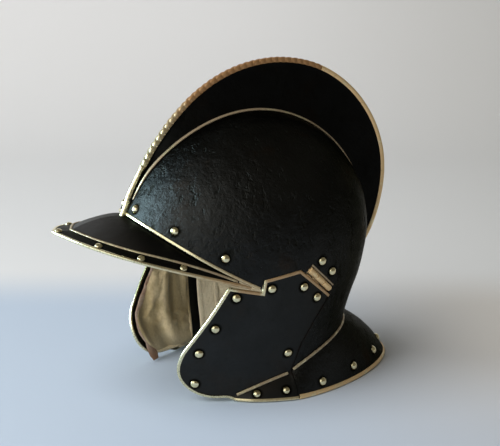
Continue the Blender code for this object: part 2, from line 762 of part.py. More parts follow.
def make_comb_bindings(collection):
    """The comb's edging: roped from the brow to past the top, plain down the back."""
    grow = BIND_CLEAR + BRASS
    stations = [comb_station(y, z, way) for (y, z), way in zip(COMB_OUTLINE, comb_directions())]
    edge = [foot + outward * height + Vector((COMB_EDGE_HALF, 0, 0))
            for foot, outward, height, _ in stations]
    count = len(edge)
    path = []
    for i, point in enumerate(edge):
        run = (edge[min(i + 1, count - 1)] - edge[max(i - 1, 0)]).normalized()
        path.append(point + Vector((1, 0, 0)).cross(run) * grow)
    profiles = [channel(2 * COMB_EDGE_HALF, min(COMB_LEG, station[3] + grow - 0.1 * MM), flip=-1)
                for station in stations]
    end = round(ROPE_SHARE * COMB_STATIONS)
    first, last = path[:end + 1], path[end:]
    first[-1] = first[-1] + (first[-2] - first[-1]).normalized() * GAP
    last[0] = last[0] + (last[1] - last[0]).normalized() * GAP
    outs = [Vector((1, 0, 0))] * count
    edge_bar("comb_binding_roped", first, outs, profiles[:end + 1], collection)
    edge_bar("comb_binding_plain", last[:-1], outs, profiles[end:-1], collection)


def make_comb_line(collection):
    """One brass wire up the left root of the comb, round its rear end and back on the right."""
    first, last = comb_directions()[0] - 3.5, comb_directions()[-1]
    spots = []
    for k in range(25):
        direction = first + (last + 3 - first) * k / 24
        spots.append((comb_root_half(direction) + WIRE + GAP, direction))
    turn = [(4.5 * MM, last - 2.4), (0, last - 3.4), (-4.5 * MM, last - 2.4)]
    spots = spots + turn + [(-x, direction) for x, direction in reversed(spots)]
    path = [ridge_point(x, direction) for x, direction in spots]
    outs = [ridge_normal(x, direction) for x, direction in spots]
    edge_bar("comb_line", path, outs, round_section(WIRE, WIRE + GAP), collection)


def make_brow_binding(collection):
    angles = [BROW_END_ANGLE - (180 + 2 * BROW_END_ANGLE) * k / 22 for k in range(23)]
    levels = [brow_level(angle) for angle in angles]
    path = [skull_point(a, level) for a, level in zip(angles, levels)]
    outs = [skull_normal(a, level) for a, level in zip(angles, levels)]
    top = BIND_CLEAR + BRASS
    profile = [(0, top), (0, -0.9 * MM), (BRASS, -0.9 * MM), (BRASS, BIND_CLEAR),
               (BROW_LEG, BIND_CLEAR), (BROW_LEG, top)]
    edge_bar("brow_binding", path, outs, [(-a, b) for a, b in profile], collection)


def make_neck_brass(collection):
    """Edging of the neck guard's rim, and the wire laid in the bend above it."""
    inner = [angle for angle in around(SKULL_COLUMNS) if NECK_END < angle < 180 - NECK_END]
    angles = [NECK_END] + inner + [180 - NECK_END]
    levels = [rim_edge_level(angle, 0) for angle in angles]
    path = [skull_point(a, level) for a, level in zip(angles, levels)]
    outs = [skull_normal(a, level) for a, level in zip(angles, levels)]
    profile = channel(SKULL_THICK, NECK_LEG)
    edge_bar("neck_binding", path, outs, profile, collection, floor=True)
    spots = [3.0 + (180 - 6.0) * k / 24 for k in range(25)]
    bend = [skull_point(a, 0) for a in spots]
    normals = [(skull_normal(a, 0.06) + skull_normal(a, -0.06)).normalized() for a in spots]
    edge_bar("neck_line", bend, normals, round_section(WIRE, WIRE + 1.9 * GAP), collection)


# ---------------------------------------------------------------- peak

def peak_station(share):
    """Brow, band line and rim points of the left half of the peak, tip (0) to temple (1)."""
    rim = [np.array(point) for point in PEAK_RIM]
    steps = [0.0]
    for a, b in zip(rim[:-1], rim[1:]):
        steps.append(steps[-1] + float(np.linalg.norm(b - a)))
    run = share * steps[-1]
    x = smooth_line(steps, [point[0] for point in rim])(run) * MM
    y = smooth_line(steps, [point[1] for point in rim])(run) * MM
    z = PEAK_RIM_Z + PEAK_RIM_SLOPE * (y - PEAK_RIM[0][1] * MM)
    edge = Vector((x, y + AXIS_Y, z))
    angle = -90 + (90 + PEAK_END_ANGLE) * share**PEAK_FAN
    level = brow_level(angle)
    brow = skull_point(angle, level)
    low = skull_point(angle, level - 0.02)
    down = (low - brow).normalized()
    widths = smooth_line(np.linspace(0, 1, len(PEAK_BAND)), PEAK_BAND)
    ahead = edge - brow
    band = edge - ahead.normalized() * widths(share) * MM
    band.z -= PEAK_DIP * (1 - share)**2
    return angle, level, brow, down, band, edge


def peak_rows(share):
    """Points of the peak's upper face from the tuck inside the brow out to the rim."""
    angle, level, brow, down, band, edge = peak_station(share)
    depth = SKULL_THICK + GAP
    high = level_at(angle, brow.z + PEAK_TUCK)
    fold = sunk_point(angle, level, depth + 0.4 * MM) + down * 0.9 * MM
    lip = brow + down * (1.1 + 0.7 * share**4) * MM + skull_normal(angle, level) * 0.6 * MM
    inset_edge = edge + (band - edge).normalized() * (BIND_CLEAR + BRASS)
    middle = lip.lerp(band, 0.5) + Vector((0, 0, 1.2 * MM * (1 - share)))
    return [sunk_point(angle, high, depth + 1.1 * MM),
            sunk_point(angle, (high + level) / 2, depth + 1.1 * MM),
            fold, lip, middle, band, band.lerp(inset_edge, 0.5), inset_edge]


def whole_width(function, end, count=10):
    """Values of the left half's stations, after their mirror images on the right."""
    left = [function(end * k / count) for k in range(count + 1)]
    return [[flip_x(value) for value in row] for row in reversed(left[1:])] + left


def make_peak(collection):
    data = loft("peak", whole_width(peak_rows, PEAK_END), closed_rings=False)
    peak = thickened("peak", data, PEAK_THICK)
    return finish(peak, "peak", "blackened_steel", collection)


def peak_edge(share):
    """Rim point, normal and brass line point of the left half."""
    _, _, _, _, band, edge = peak_station(share)
    later = peak_station(min(1, share + 0.02))[5]
    before = peak_station(share - 0.02)[5] if share > 0 else flip_x(later)
    normal = (later - before).cross(edge - band).normalized()
    return edge, normal if normal.z > 0 else -normal, band


def make_peak_brass(collection):
    rim = whole_width(peak_edge, PEAK_BRASS_END, 14)
    profiles = []
    for k in range(-14, 15):
        _, _, brow, _, _, edge = peak_station(PEAK_BRASS_END * abs(k) / 14)
        profiles.append(channel(PEAK_THICK, min(PEAK_LEG, (edge - brow).length - 4 * MM)))
    edge_bar("peak_binding", [row[0] for row in rim], [row[1] for row in rim], profiles, collection)
    line = whole_width(peak_edge, PEAK_LINE_END, 12)
    edge_bar("peak_line", [row[2] for row in line], [row[1] for row in line],
             round_section(WIRE, WIRE + 1.5 * GAP), collection)


# ---------------------------------------------------------------- cheekpieces

def cheek_grid(angles, depth, levels):
    return [[sunk_point(angle, level, depth) for angle in angles] for level in levels]


def make_cheek(collection):
    angles = [-62 + 89 * k / 16 for k in range(17)]
    levels = [-1, -0.8, -0.6, -0.4, -0.2, 0, 0.05, 0.11, 0.2, 0.34, 0.51, 0.66, 0.75, 0.83, 0.91, 1]
    data = loft("cheek", cheek_grid(angles, 0, levels), closed_rings=False)
    plate = thickened("cheek", data, CHEEK_THICK)
    outline = rounded(CHEEK_CORNERS)
    edge = (BIND_CLEAR + BRASS) / MM
    framed = outline.index(CHEEK_CORNERS[CHEEK_FRAME - 1][:2])
    front = outline.index(CHEEK_CORNERS[4][:2])
    amounts = [edge + 1.2 if i < front else edge + 0.5 if i == front else edge if i < framed else 0
               for i in range(len(outline))]
    combine(plate, side_prism(inset(outline, amounts), 0.02, 0.16), "INTERSECT")
    return plate, outline[:framed + 1]


def cheek_path(outline, step):
    path, outs = [], []
    for y, z in refine(outline, step):
        angle, level = side_place(y, z)
        path.append(skull_point(angle, level))
        outs.append(skull_normal(angle, level))
    return path, outs


def make_cheek_binding(outline, collection):
    path, outs = cheek_path(outline, 6)
    return edge_bar("cheek_binding_left", path, outs, channel(CHEEK_THICK + CHEEK_EASE, CHEEK_LEG, flip=-1),
                    collection, floor=True)


def make_cheek_line(collection):
    spots = [BEND_END_ANGLE + 3 + (-BEND_END_ANGLE - 3.4) * k / 7 for k in range(8)]
    path = [skull_point(a, 0) for a in spots]
    outs = [(skull_normal(a, 0.06) + skull_normal(a, -0.06)).normalized() for a in spots]
    return edge_bar("cheek_line_left", path, outs, round_section(WIRE, WIRE + 1.9 * GAP), collection)


def make_cheek_lining(collection):
    angles = [-58 + 48 * k / 8 for k in range(9)]
    levels = [0, 0.06, 0.13, 0.22, 0.35, 0.5, 0.7, 0.9]
    data = loft("lining", cheek_grid(angles, CHEEK_LINING_DEPTH, levels), closed_rings=False)
    lining = thickened("lining", data, LINING_THICK)
    outline = [(-28, 97), (-28, 20), (-54, 10), (-76, 11.5), (-87, 24), (-88, 42), (-57, 97)]
    combine(lining, side_prism(outline, 0.02, 0.16), "INTERSECT")
    return finish(lining, "cheek_lining_left", "lining_cloth", collection)


# ---------------------------------------------------------------- hinges

def hinge_frame(side=1):
    """Frame of the hinge: X along the barrel, downwards to the rear; Y up the plate; Z out."""
    ends = [skull_point(*side_place(y, z)) for y, z in HINGE_ENDS]
    middle_y = (HINGE_ENDS[0][0] + HINGE_ENDS[1][0]) / 2
    middle_z = (HINGE_ENDS[0][1] + HINGE_ENDS[1][1]) / 2
    angle, level = side_place(middle_y, middle_z)
    run = (ends[1] - ends[0]).normalized()
    out = skull_normal(angle, level)
    out = (out - run * out.dot(run)).normalized()
    up = out.cross(run)
    centre = skull_point(angle, level) - out * HINGE_SUNK
    frame = Matrix((run, up, out)).transposed().to_4x4()
    frame.translation = centre
    if side < 0:
        frame = Matrix.Scale(-1, 4, (1, 0, 0)) @ frame
    return frame


def hinge_rivets(upper):
    """Angle and level of the two rivets through a leaf."""
    return [side_place(y, z) for y, z in (UPPER_RIVETS if upper else LOWER_RIVETS)]


def hinge_cutters(side):
    """The notch for the barrel and the holes for the rivets, in the skull."""
    (y1, z1), (y2, z2) = HINGE_ENDS
    middle = np.array(((y1 + y2) / 2, (z1 + z2) / 2))
    run = np.array((y2 - y1, z2 - z1))
    run = run / np.linalg.norm(run)
    up = np.array((-run[1], run[0]))
    half = (HINGE_LENGTH / 2 / MM + HINGE_END_GAP) * 0.97
    corners = [middle + run * a + up * b for a, b in
               ((-half, HINGE_WINDOW), (half, HINGE_WINDOW), (half, -12), (-half, -12))]
    low, high = (0.02, 0.2) if side > 0 else (-0.2, -0.02)
    cutters = [side_prism([tuple(corner) for corner in corners], low, high)]
    for angle, level in hinge_rivets(upper=True):
        angle = angle if side > 0 else 180 - angle
        frame = place_frame(skull_point(angle, level), skull_normal(angle, level))
        cutters.append(cylinder(HOLE_R, -6 * MM, 6 * MM, frame))
    return cutters


def hinge_leaf(name, upper, collection):
    """A leaf with its knuckles and its two rivets, on the left side."""
    frame = hinge_frame()
    turn = Matrix.Rotation(math.radians(90), 4, "Y")
    barrel = frame @ turn
    third = HINGE_LENGTH / 6
    spans = ([(-HINGE_LENGTH / 2, -third - KNUCKLE_GAP / 2), (third + KNUCKLE_GAP / 2, HINGE_LENGTH / 2)]
             if upper else [(-third + KNUCKLE_GAP / 2, third - KNUCKLE_GAP / 2)])
    sign = 1 if upper else -1
    leaf = leaf_plate(name, frame, sign, spans)
    for low, high in spans:
        combine(leaf, cylinder(HINGE_R, low, high, barrel, 14), "UNION")
    if upper:
        combine(leaf, cylinder(PIN_R, -HINGE_LENGTH / 2 + MM, HINGE_LENGTH / 2 - MM, barrel, 10), "UNION")
    else:
        combine(leaf, cylinder(HINGE_BORE, -HINGE_LENGTH, HINGE_LENGTH, barrel, 10), "DIFFERENCE")
    for angle, level in hinge_rivets(upper):
        spot = place_frame(skull_point(angle, level), skull_normal(angle, level))
        combine(leaf, cylinder(SHANK_R, -5.2 * MM, GAP + 1.2 * MM, spot, 8), "UNION")
        head = bpy.data.objects.new("head", rivet_mesh())
        CUTTERS.objects.link(head)
        head.matrix_world = spot @ Matrix.Translation((0, 0, GAP))
        combine(leaf, head, "UNION")
    return finish(leaf, name, "brass", collection)


def leaf_plate(name, frame, sign, spans):
    """A leaf: a plate that leaves the barrel's inner side, with tongues to its knuckles."""
    inner = -LEAF_DROP + HINGE_SUNK
    start = HINGE_R + KNUCKLE_GAP
    half = LEAF_WIDE / 2
    outline = [(-half, LEAF_LONG), (-half, start)]
    for low, high in spans:
        low, high = max(low + 0.2 * MM, -half), min(high - 0.2 * MM, half)
        outline += [(low, start), (low, -0.6 * MM), (high, -0.6 * MM), (high, start)]
    outline += [(half, start), (half, LEAF_LONG)]
    outline = list(dict.fromkeys(outline))
    rings = [[frame @ Vector((x, sign * y, inner - LEAF_TILT * y - depth)) for x, y in outline]
             for depth in (0, LEAF_THICK)]
    obj = bpy.data.objects.new(name, loft(name, rings))
    CUTTERS.objects.link(obj)
    return obj


# ---------------------------------------------------------------- rivets

def add_rivet(name, data, point, normal, parent, collection):
    rivet = bpy.data.objects.new(name, data)
    collection.objects.link(rivet)
    rivet.matrix_world = place_frame(point + normal * GAP, normal)
    if parent:
        rivet.parent = parent
        rivet.matrix_parent_inverse = parent.matrix_world.inverted()
    return rivet


def side_rivet(name, data, spot, side, parent, collection):
    angle, level = side_place(*spot, side)
    return add_rivet(name, data, skull_point(angle, level), skull_normal(angle, level), parent, collection)


def make_rivets(collection):
    data, small = rivet_mesh(), rivet_mesh(SMALL_RIVET)
    for mesh in (data, small):
        mesh.materials.append(MATERIALS["brass"])
        mesh.shade_smooth()
    for side, word in ((1, "left"), (-1, "right")):
        for i, spot in enumerate(BROW_RIVETS, 1):
            side_rivet(f"brow_rivet_{word}_{i}", data, spot, side, None, collection)
        for i, angle in enumerate(NECK_RIVETS, 1):
            angle = angle if side > 0 else 180 - angle
            point, normal = skull_point(angle, NECK_RIVET_LEVEL), skull_normal(angle, NECK_RIVET_LEVEL)
            add_rivet(f"neck_rivet_{word}_{i}", data, point, normal, None, collection)
        for i, spot in enumerate(CHEEK_RIVETS, 1):
            head = small if spot[1] < 10 else data
            side_rivet(f"cheek_rivet_{word}_{i}", head, spot, side, HINGES[side], collection)
    for i, share in enumerate(PEAK_RIVETS):
        edge, normal, band = peak_edge(share)
        point = edge + (band - edge).normalized() * (PEAK_LEG + 0.4 * MM + RIVET_R * SMALL_RIVET)
        if share == 0:
            add_rivet("peak_rivet_centre", small, point, normal, None, collection)
            continue
        add_rivet(f"peak_rivet_left_{i}", small, point, normal, None, collection)
        add_rivet(f"peak_rivet_right_{i}", small, flip_x(point), flip_x(normal), None, collection)


# ---------------------------------------------------------------- assembly

def hinge_empty(side, collection):
    """Empty on the hinge's axis, which carries the cheekpiece."""
    empty = bpy.data.objects.new("hinge_axis_left" if side > 0 else "hinge_axis_right", None)
    empty.matrix_world = Matrix.Translation(hinge_frame(side).translation)
    collection.objects.link(empty)
    return empty


def hang(obj, side):
    """Parents a cheekpiece's part to its hinge, leaving it in place."""
    obj.parent = HINGES[side]
    obj.matrix_parent_inverse = HINGES[side].matrix_world.inverted()


def make_cheeks(collection):
    plate, framed = make_cheek(collection)
    for angle, level in hinge_rivets(upper=False):
        frame = place_frame(skull_point(angle, level), skull_normal(angle, level))
        combine(plate, cylinder(HOLE_R, -6 * MM, 6 * MM, frame), "DIFFERENCE")
    left = [finish(plate, "cheek_plate_left", "blackened_steel", collection),
            make_cheek_binding(framed, collection), make_cheek_line(collection),
            make_cheek_lining(collection),
            hinge_leaf("hinge_cheek_leaf_left", False, collection)]
    upper = hinge_leaf("hinge_skull_leaf_left", True, collection)
    for piece in left + [upper]:
        material = piece.data.materials[0].name
        twin = mirrored(piece, piece.name.replace("left", "right"), collection)
        finish(twin, twin.name, material, collection)
        if piece is not upper:
            hang(piece, 1)
            hang(twin, -1)


clear_scene()
HELMET = bpy.data.collections.new("burgonet")
CUTTERS = bpy.data.collections.new("cutters")
COMB_OUTLINE = comb_outline()
bpy.context.scene.collection.children.link(HELMET)
bpy.context.scene.collection.children.link(CUTTERS)
MATERIALS = {name: make_material(name) for name in COLOURS}
HINGES = {side: hinge_empty(side, HELMET) for side in (1, -1)}
make_skull(HELMET)
make_skull_lining(HELMET)
make_comb_bindings(HELMET)
make_comb_line(HELMET)
make_brow_binding(HELMET)
make_neck_brass(HELMET)
make_peak(HELMET)
make_peak_brass(HELMET)
make_cheeks(HELMET)
make_rivets(HELMET)
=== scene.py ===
# %% [markdown]
# # A burgonet, finished piece by piece
# A burgonet is a close helmet of blackened steel: a bowl with a tall comb over it, a peak over
# the eyes, a neck guard turned out at the nape and two cheekpieces on hinges. Brass channels are
# folded over its edges, brass wires lie in its corners and brass rivets dot its plates.
# The measured model is loaded first. It fixes the size, the bodies and the hinges, and each
# piece made below goes exactly where it says.

# %% Load the frame
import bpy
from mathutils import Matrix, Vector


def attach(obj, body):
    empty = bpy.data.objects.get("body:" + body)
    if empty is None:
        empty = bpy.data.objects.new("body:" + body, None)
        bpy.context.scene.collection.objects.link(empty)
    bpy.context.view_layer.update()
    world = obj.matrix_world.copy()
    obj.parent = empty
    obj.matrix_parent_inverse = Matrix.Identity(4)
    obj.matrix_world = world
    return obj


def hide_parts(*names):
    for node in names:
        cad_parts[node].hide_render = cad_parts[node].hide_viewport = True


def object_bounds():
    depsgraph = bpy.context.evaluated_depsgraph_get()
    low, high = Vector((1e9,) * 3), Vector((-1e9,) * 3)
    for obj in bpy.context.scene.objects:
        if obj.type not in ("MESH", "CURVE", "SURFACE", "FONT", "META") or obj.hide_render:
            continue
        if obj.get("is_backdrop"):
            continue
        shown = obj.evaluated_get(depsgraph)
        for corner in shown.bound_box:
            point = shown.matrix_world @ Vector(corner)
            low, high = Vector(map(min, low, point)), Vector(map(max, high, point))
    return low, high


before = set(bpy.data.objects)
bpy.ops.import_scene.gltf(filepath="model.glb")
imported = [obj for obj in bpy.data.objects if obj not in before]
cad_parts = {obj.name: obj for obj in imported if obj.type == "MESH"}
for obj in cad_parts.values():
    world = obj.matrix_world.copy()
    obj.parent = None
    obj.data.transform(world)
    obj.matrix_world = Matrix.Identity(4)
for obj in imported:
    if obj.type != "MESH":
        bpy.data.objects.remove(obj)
cad_low, cad_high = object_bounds()

# %% [markdown]
# ## Words and measures
# All tables are in millimetres, measured from the upright axis of the skull, which stands a
# little behind the origin. The helmet faces -Y and its left side is +X.

# %% Units and imports
import cmath
import math

import bmesh
import bpy
import numpy as np
from mathutils import Matrix, Vector, kdtree, noise

MM = 0.001
AXIS_Y = 21.23 * MM
SIDES = ("left", "right")


def nothing_selected():
    """Operators act on what is selected, so every step starts from nothing."""
    if bpy.context.object and bpy.context.object.mode != "OBJECT":
        bpy.ops.object.mode_set(mode="OBJECT")
    bpy.ops.object.select_all(action="DESELECT")


def only(obj):
    nothing_selected()
    obj.select_set(True)
    bpy.context.view_layer.objects.active = obj
    return obj


nothing_selected()
print("unit", MM, "axis", AXIS_Y)

# %% [markdown]
# ## The form of the skull
# The bowl isn't a sphere: its level sections are half ellipses with one reach forward and
# another back. A short table of sections, joined by a smooth line, gives the half width and the
# reaches at every height, and above the widest height an ellipse shrinks them to the crown.
# Every plate, wire and rivet is laid on this one form, so all of them meet.

# %% Sections of the bowl
WIDEST_Z = 125 * MM
CROWN_Z = 246 * MM
SECTIONS = (                   # height, half width, reach forward, reach back
    (0, 78.5, 115, 82), (22, 80, 130, 83.5), (46.5, 85.5, 149, 85), (67, 88.5, 158, 90),
    (82, 91, 160, 96), (96, 92.5, 157, 102), (108, 93.8, 146, 105.5), (118, 94.8, 136, 108),
    (160, 96, 125.5, 113.5), (210, 96, 124, 115.5), (246, 96, 115, 114),
)


def smooth_line(xs, ys):
    """A smooth function through the points of a short table."""
    xs, ys = [float(x) for x in xs], [float(y) for y in ys]
    slopes = [float(s) for s in np.gradient(np.array(ys), np.array(xs))]

    def value(x):
        x = min(max(x, xs[0]), xs[-1])
        i = 0
        while i < len(xs) - 2 and x > xs[i + 1]:
            i += 1
        step = xs[i + 1] - xs[i]
        t = (x - xs[i]) / step
        return ((2 * t**3 - 3 * t**2 + 1) * ys[i] + (t**3 - 2 * t**2 + t) * step * slopes[i]
                + (3 * t**2 - 2 * t**3) * ys[i + 1] + (t**3 - t**2) * step * slopes[i + 1])
    return value


HEIGHTS = [row[0] * MM for row in SECTIONS]
HALF_WIDTH, FRONT_REACH, REAR_REACH = (
    smooth_line(HEIGHTS, [row[column] * MM for row in SECTIONS]) for column in (1, 2, 3))


def section(z):
    """Half width, forward reach and backward reach of the level section at height z."""
    up = max(0.0, (z - WIDEST_Z) / (CROWN_Z - WIDEST_Z))
    shrink = math.sqrt(max(0.0, 1 - up * up))
    return HALF_WIDTH(z) * shrink, FRONT_REACH(z) * shrink, REAR_REACH(z) * shrink


def body_point(angle, z):
    """Outer face at an angle in degrees: -90 front, 0 left side, 90 rear, beyond: right."""
    side, front, rear = section(z)
    turn = math.radians(angle)
    reach = rear if math.sin(turn) > 0 else front
    return Vector((side * math.cos(turn), reach * math.sin(turn) + AXIS_Y, z))


print("widest half width", round(section(WIDEST_Z)[0] / MM, 1), "mm")

# %% [markdown]
# The nape bends out into the neck guard. The bend climbs towards the back, and from it the plate
# swings out and down in a rounded bell to a rim that stands on the floor.

# %% Bend and rim
BEND_SIDE_Z, BEND_REAR_Z, BEND_RISE = 21.5 * MM, 52 * MM, 3
BEND_END_ANGLE, BEND_END_Z = -26, 4 * MM
RIM_SIDE, RIM_REAR, RIM_FULLNESS = 93 * MM, 144 * MM, 1.58


def bend_height(angle):
    """Height of the bend where the nape turns out into the neck guard."""
    sine = math.sin(math.radians(angle))
    if sine >= 0:
        behind = math.degrees(math.asin(min(1, sine))) / 90
        return BEND_SIDE_Z + (BEND_REAR_Z - BEND_SIDE_Z) * (1 - (1 - behind)**BEND_RISE)
    part = min(1.0, sine / math.sin(math.radians(BEND_END_ANGLE)))
    return BEND_SIDE_Z + (BEND_END_Z - BEND_SIDE_Z) * part**1.15


def rim_point(angle):
    """Rim of the neck guard, and of the cheekpiece's flange forward of the side."""
    turn = math.radians(angle)
    cosine, sine = math.cos(turn), math.sin(turn)
    if sine >= 0:
        power = 2 / RIM_FULLNESS
        width = math.copysign(abs(cosine)**power, cosine)
        return Vector((RIM_SIDE * width, RIM_REAR * sine**power + AXIS_Y, 0))
    bend = body_point(angle, bend_height(angle))
    left = max(0.0, 1 - sine / math.sin(math.radians(BEND_END_ANGLE)))
    flare = (RIM_SIDE - section(BEND_SIDE_Z)[0]) * left**0.6
    foot = body_point(angle, 0).lerp(bend, min(1, 3 * left))
    return Vector((foot.x + math.copysign(flare, cosine), foot.y, 0))


print("bend at side and rear", [round(bend_height(angle) / MM, 1) for angle in (0, 90)], "mm up")

# %% [markdown]
# An angle and a level name any place on the whole outer face, from the rim over the bend and the
# widest height to the crown. Between bend and rim the plate follows a curve of the second
# degree, and its middle point gives the neck guard its swing.

# %% The whole outer face
BELL = (0.63, 0.29)            # the middle point's share of the way out and of the way down


def skull_point(angle, level):
    """Outer face by level: -1 rim, 0 bend, 1 widest height, 2 crown."""
    if level > 1:
        climb = math.radians(90 * (level - 1))
        return body_point(angle, WIDEST_Z + (CROWN_Z - WIDEST_Z) * math.sin(climb))
    low = bend_height(angle)
    if level >= 0:
        return body_point(angle, low + (WIDEST_Z - low) * level)
    bend, rim, t = body_point(angle, low), rim_point(angle), -level
    out = 2 * t * (1 - t) * BELL[0] + t * t
    down = 2 * t * (1 - t) * BELL[1] + t * t
    return Vector((bend.x + (rim.x - bend.x) * out, bend.y + (rim.y - bend.y) * out,
                   bend.z + (rim.z - bend.z) * down))


def skull_normal(angle, level):
    if level > 1.97:
        return Vector((0, 0, 1))
    across = skull_point(angle + 0.5, level) - skull_point(angle - 0.5, level)
    above, below = min(level + 0.01, 2), max(level - 0.01, -1)
    return across.cross(skull_point(angle, above) - skull_point(angle, below)).normalized()


def sunk_point(angle, level, depth):
    return skull_point(angle, level) - skull_normal(angle, level) * depth


print("rim at the back", round(rim_point(90).y / MM, 1), "mm behind the origin")

# %% [markdown]
# Cuts and rivets are easiest to measure from the side, as a height and a distance forward or
# back. These functions find the angle and level of such a place on the form.

# %% From side view places to the form
def level_at(angle, z):
    if z >= WIDEST_Z:
        return 1 + math.asin(min(1, (z - WIDEST_Z) / (CROWN_Z - WIDEST_Z))) / math.radians(90)
    low = bend_height(angle)
    if z >= low:
        return (z - low) / (WIDEST_Z - low)
    return -math.sqrt(max(0.0, 1 - z / low))


def halved(low, high, is_low):
    """The place between low and high where is_low changes, by halving."""
    for _ in range(20):
        middle = (low + high) / 2
        low, high = (middle, high) if is_low(middle) else (low, middle)
    return (low + high) / 2


def flare_level(angle, z):
    return halved(-1.0, 0.0, lambda level: skull_point(angle, level).z < z)


def side_place(y, z, side=1):
    """Angle and level of the point seen from the side at (y, z), in table millimetres."""
    y, z = y * MM, z * MM
    for _ in range(2):
        front_rear = section(z)[2 if y > 0 else 1]
        angle = math.degrees(math.asin(max(-1, min(1, y / front_rear))))
        if z < bend_height(angle):
            angle = halved(-60.0, 89.0,
                           lambda a: skull_point(a, flare_level(a, z)).y - AXIS_Y < y)
    level = level_at(angle, z) if z >= bend_height(angle) else flare_level(angle, z)
    return (angle if side > 0 else 180 - angle), level


print("angle and level at the ear", [round(value, 2) for value in side_place(0, 60)])

# %% [markdown]
# The brow line climbs from the temple to the comb, straight but for a slight sag. The bowl is
# cut along it, and the peak and the brow's brass both start from it.

# %% The brow line
TEMPLE = (-31.2, 103.6)
BROW_SLOPE, BROW_SAG, BROW_FRONT, BROW_END_ANGLE = -0.63, 3.0, -122.0, -13.2


def brow_at(y):
    """Height of the brow line in table millimetres."""
    share = min(1, max(0, (y - TEMPLE[0]) / (BROW_FRONT - TEMPLE[0])))
    return TEMPLE[1] + BROW_SLOPE * (y - TEMPLE[0]) - 4 * BROW_SAG * share * (1 - share)


def brow_level(angle):
    z = TEMPLE[1] * MM
    for _ in range(12):
        z = 0.5 * z + 0.5 * MM * brow_at((body_point(angle, z).y - AXIS_Y) / MM)
    return level_at(angle, z)


print("brow at the comb", round(brow_at(BROW_FRONT), 1), "mm up")

# %% [markdown]
# ## Tools for sheet metal
# A smith starts from flat sheet and raises it over a form. Here a flat grid of faces is added
# and each of its points is laid on the form, so a plate has even faces that bend as sheet does.
# Edges that meet, such as the bowl's in front, are sewn together by merging their points.

# %% Raise a sheet over a form
def in_edit(obj, *steps):
    """Edit mode on one piece, all of which is selected before each step."""
    only(obj)
    bpy.ops.object.mode_set(mode="EDIT")
    for step in steps:
        bpy.ops.mesh.select_all(action="SELECT")
        step()
    bpy.ops.object.mode_set(mode="OBJECT")
    return obj


def doubles_merged():
    bpy.ops.mesh.remove_doubles(threshold=0.01 * MM)


def holes_filled():
    bpy.ops.mesh.fill_holes(sides=0)


def faces_out():
    bpy.ops.mesh.normals_make_consistent(inside=False)


def raised_sheet(name, columns, rows, place, sewn=False):
    """A grid whose points go to place(u, v), with u and v from 0 to 1, sewn where it meets."""
    nothing_selected()
    bpy.ops.mesh.primitive_grid_add(x_subdivisions=columns, y_subdivisions=rows, size=1,
                                    location=(0.5, 0.5, 0))
    obj = bpy.context.object
    obj.name = obj.data.name = name
    bpy.ops.object.transform_apply(location=True, rotation=False, scale=False)
    for vertex in obj.data.vertices:
        vertex.co = place(min(1, max(0, vertex.co.x)), min(1, max(0, vertex.co.y)))
    return in_edit(obj, doubles_merged) if sewn else obj


print("sheets can be raised")

# %% [markdown]
# Solidify gives a sheet its thickness, and a Boolean cuts it with a prism, whose outline is seen
# from the side. Each piece is measured when it is done, because a gap in its skin, or a skin
# turned inside out, is hard to see in a picture.

# %% Thicken, cut, smooth and measure
def applied(obj, kind, **settings):
    """Adds one modifier, sets it and applies it."""
    only(obj)
    modifier = obj.modifiers.new(kind.lower(), kind)
    for word, value in settings.items():
        setattr(modifier, word, value)
    bpy.ops.object.modifier_apply(modifier=modifier.name)
    return obj


def thickened(obj, thickness, even=True):
    """Adds a thickness inwards: even for plates, plain for cloth, whose creases are sharp."""
    return applied(obj, "SOLIDIFY", thickness=thickness, offset=-1, use_even_offset=even,
                   use_quality_normals=even)


def prism(outline, x_low=-0.2, x_high=0.2):
    """A prism with an outline (Y, Z) in table millimetres, from a circle's points and extrude.
    As it stands it goes through both sides."""
    nothing_selected()
    bpy.ops.mesh.primitive_circle_add(vertices=len(outline), radius=0.1, fill_type="NGON")
    obj = bpy.context.object
    for vertex, (y, z) in zip(obj.data.vertices, outline):
        vertex.co = (x_low, y * MM + AXIS_Y, z * MM)
    away = {"value": (x_high - x_low, 0, 0)}
    return in_edit(obj, lambda: bpy.ops.mesh.extrude_region_move(TRANSFORM_OT_translate=away),
                   faces_out)


def cut(obj, cutter, operation="DIFFERENCE"):
    """Boolean with a cutter, which is used up."""
    applied(obj, "BOOLEAN", operation=operation, solver="EXACT", object=cutter)
    bpy.data.objects.remove(cutter, do_unlink=True)
    return obj


def smoothed(obj, degrees=30):
    only(obj)
    bpy.ops.object.shade_smooth_by_angle(angle=math.radians(degrees))
    return obj


def measured(obj):
    """Prints a piece's size and whether its skin is closed and turned outwards."""
    work = bmesh.new()
    work.from_mesh(obj.data)
    opened = sum(not edge.is_manifold for edge in work.edges)
    low, high = ([round(end(vertex.co[k] for vertex in work.verts) / MM, 1) for k in range(3)]
                 for end in (min, max))
    triangles = sum(len(face.verts) - 2 for face in work.faces)
    print(f"{obj.name}: {triangles} triangles, open edges {opened}, "
          f"volume {work.calc_volume(signed=True) * 1e6:.2f} cm3, {low} to {high}")
    work.free()
    return obj


print("sheet metal tools ready")

# %% [markdown]
# Outlines have rounded corners, and an edge that carries a brass channel steps back a little to
# leave room for it, so two more helpers round a corner and move an outline's edges inwards.

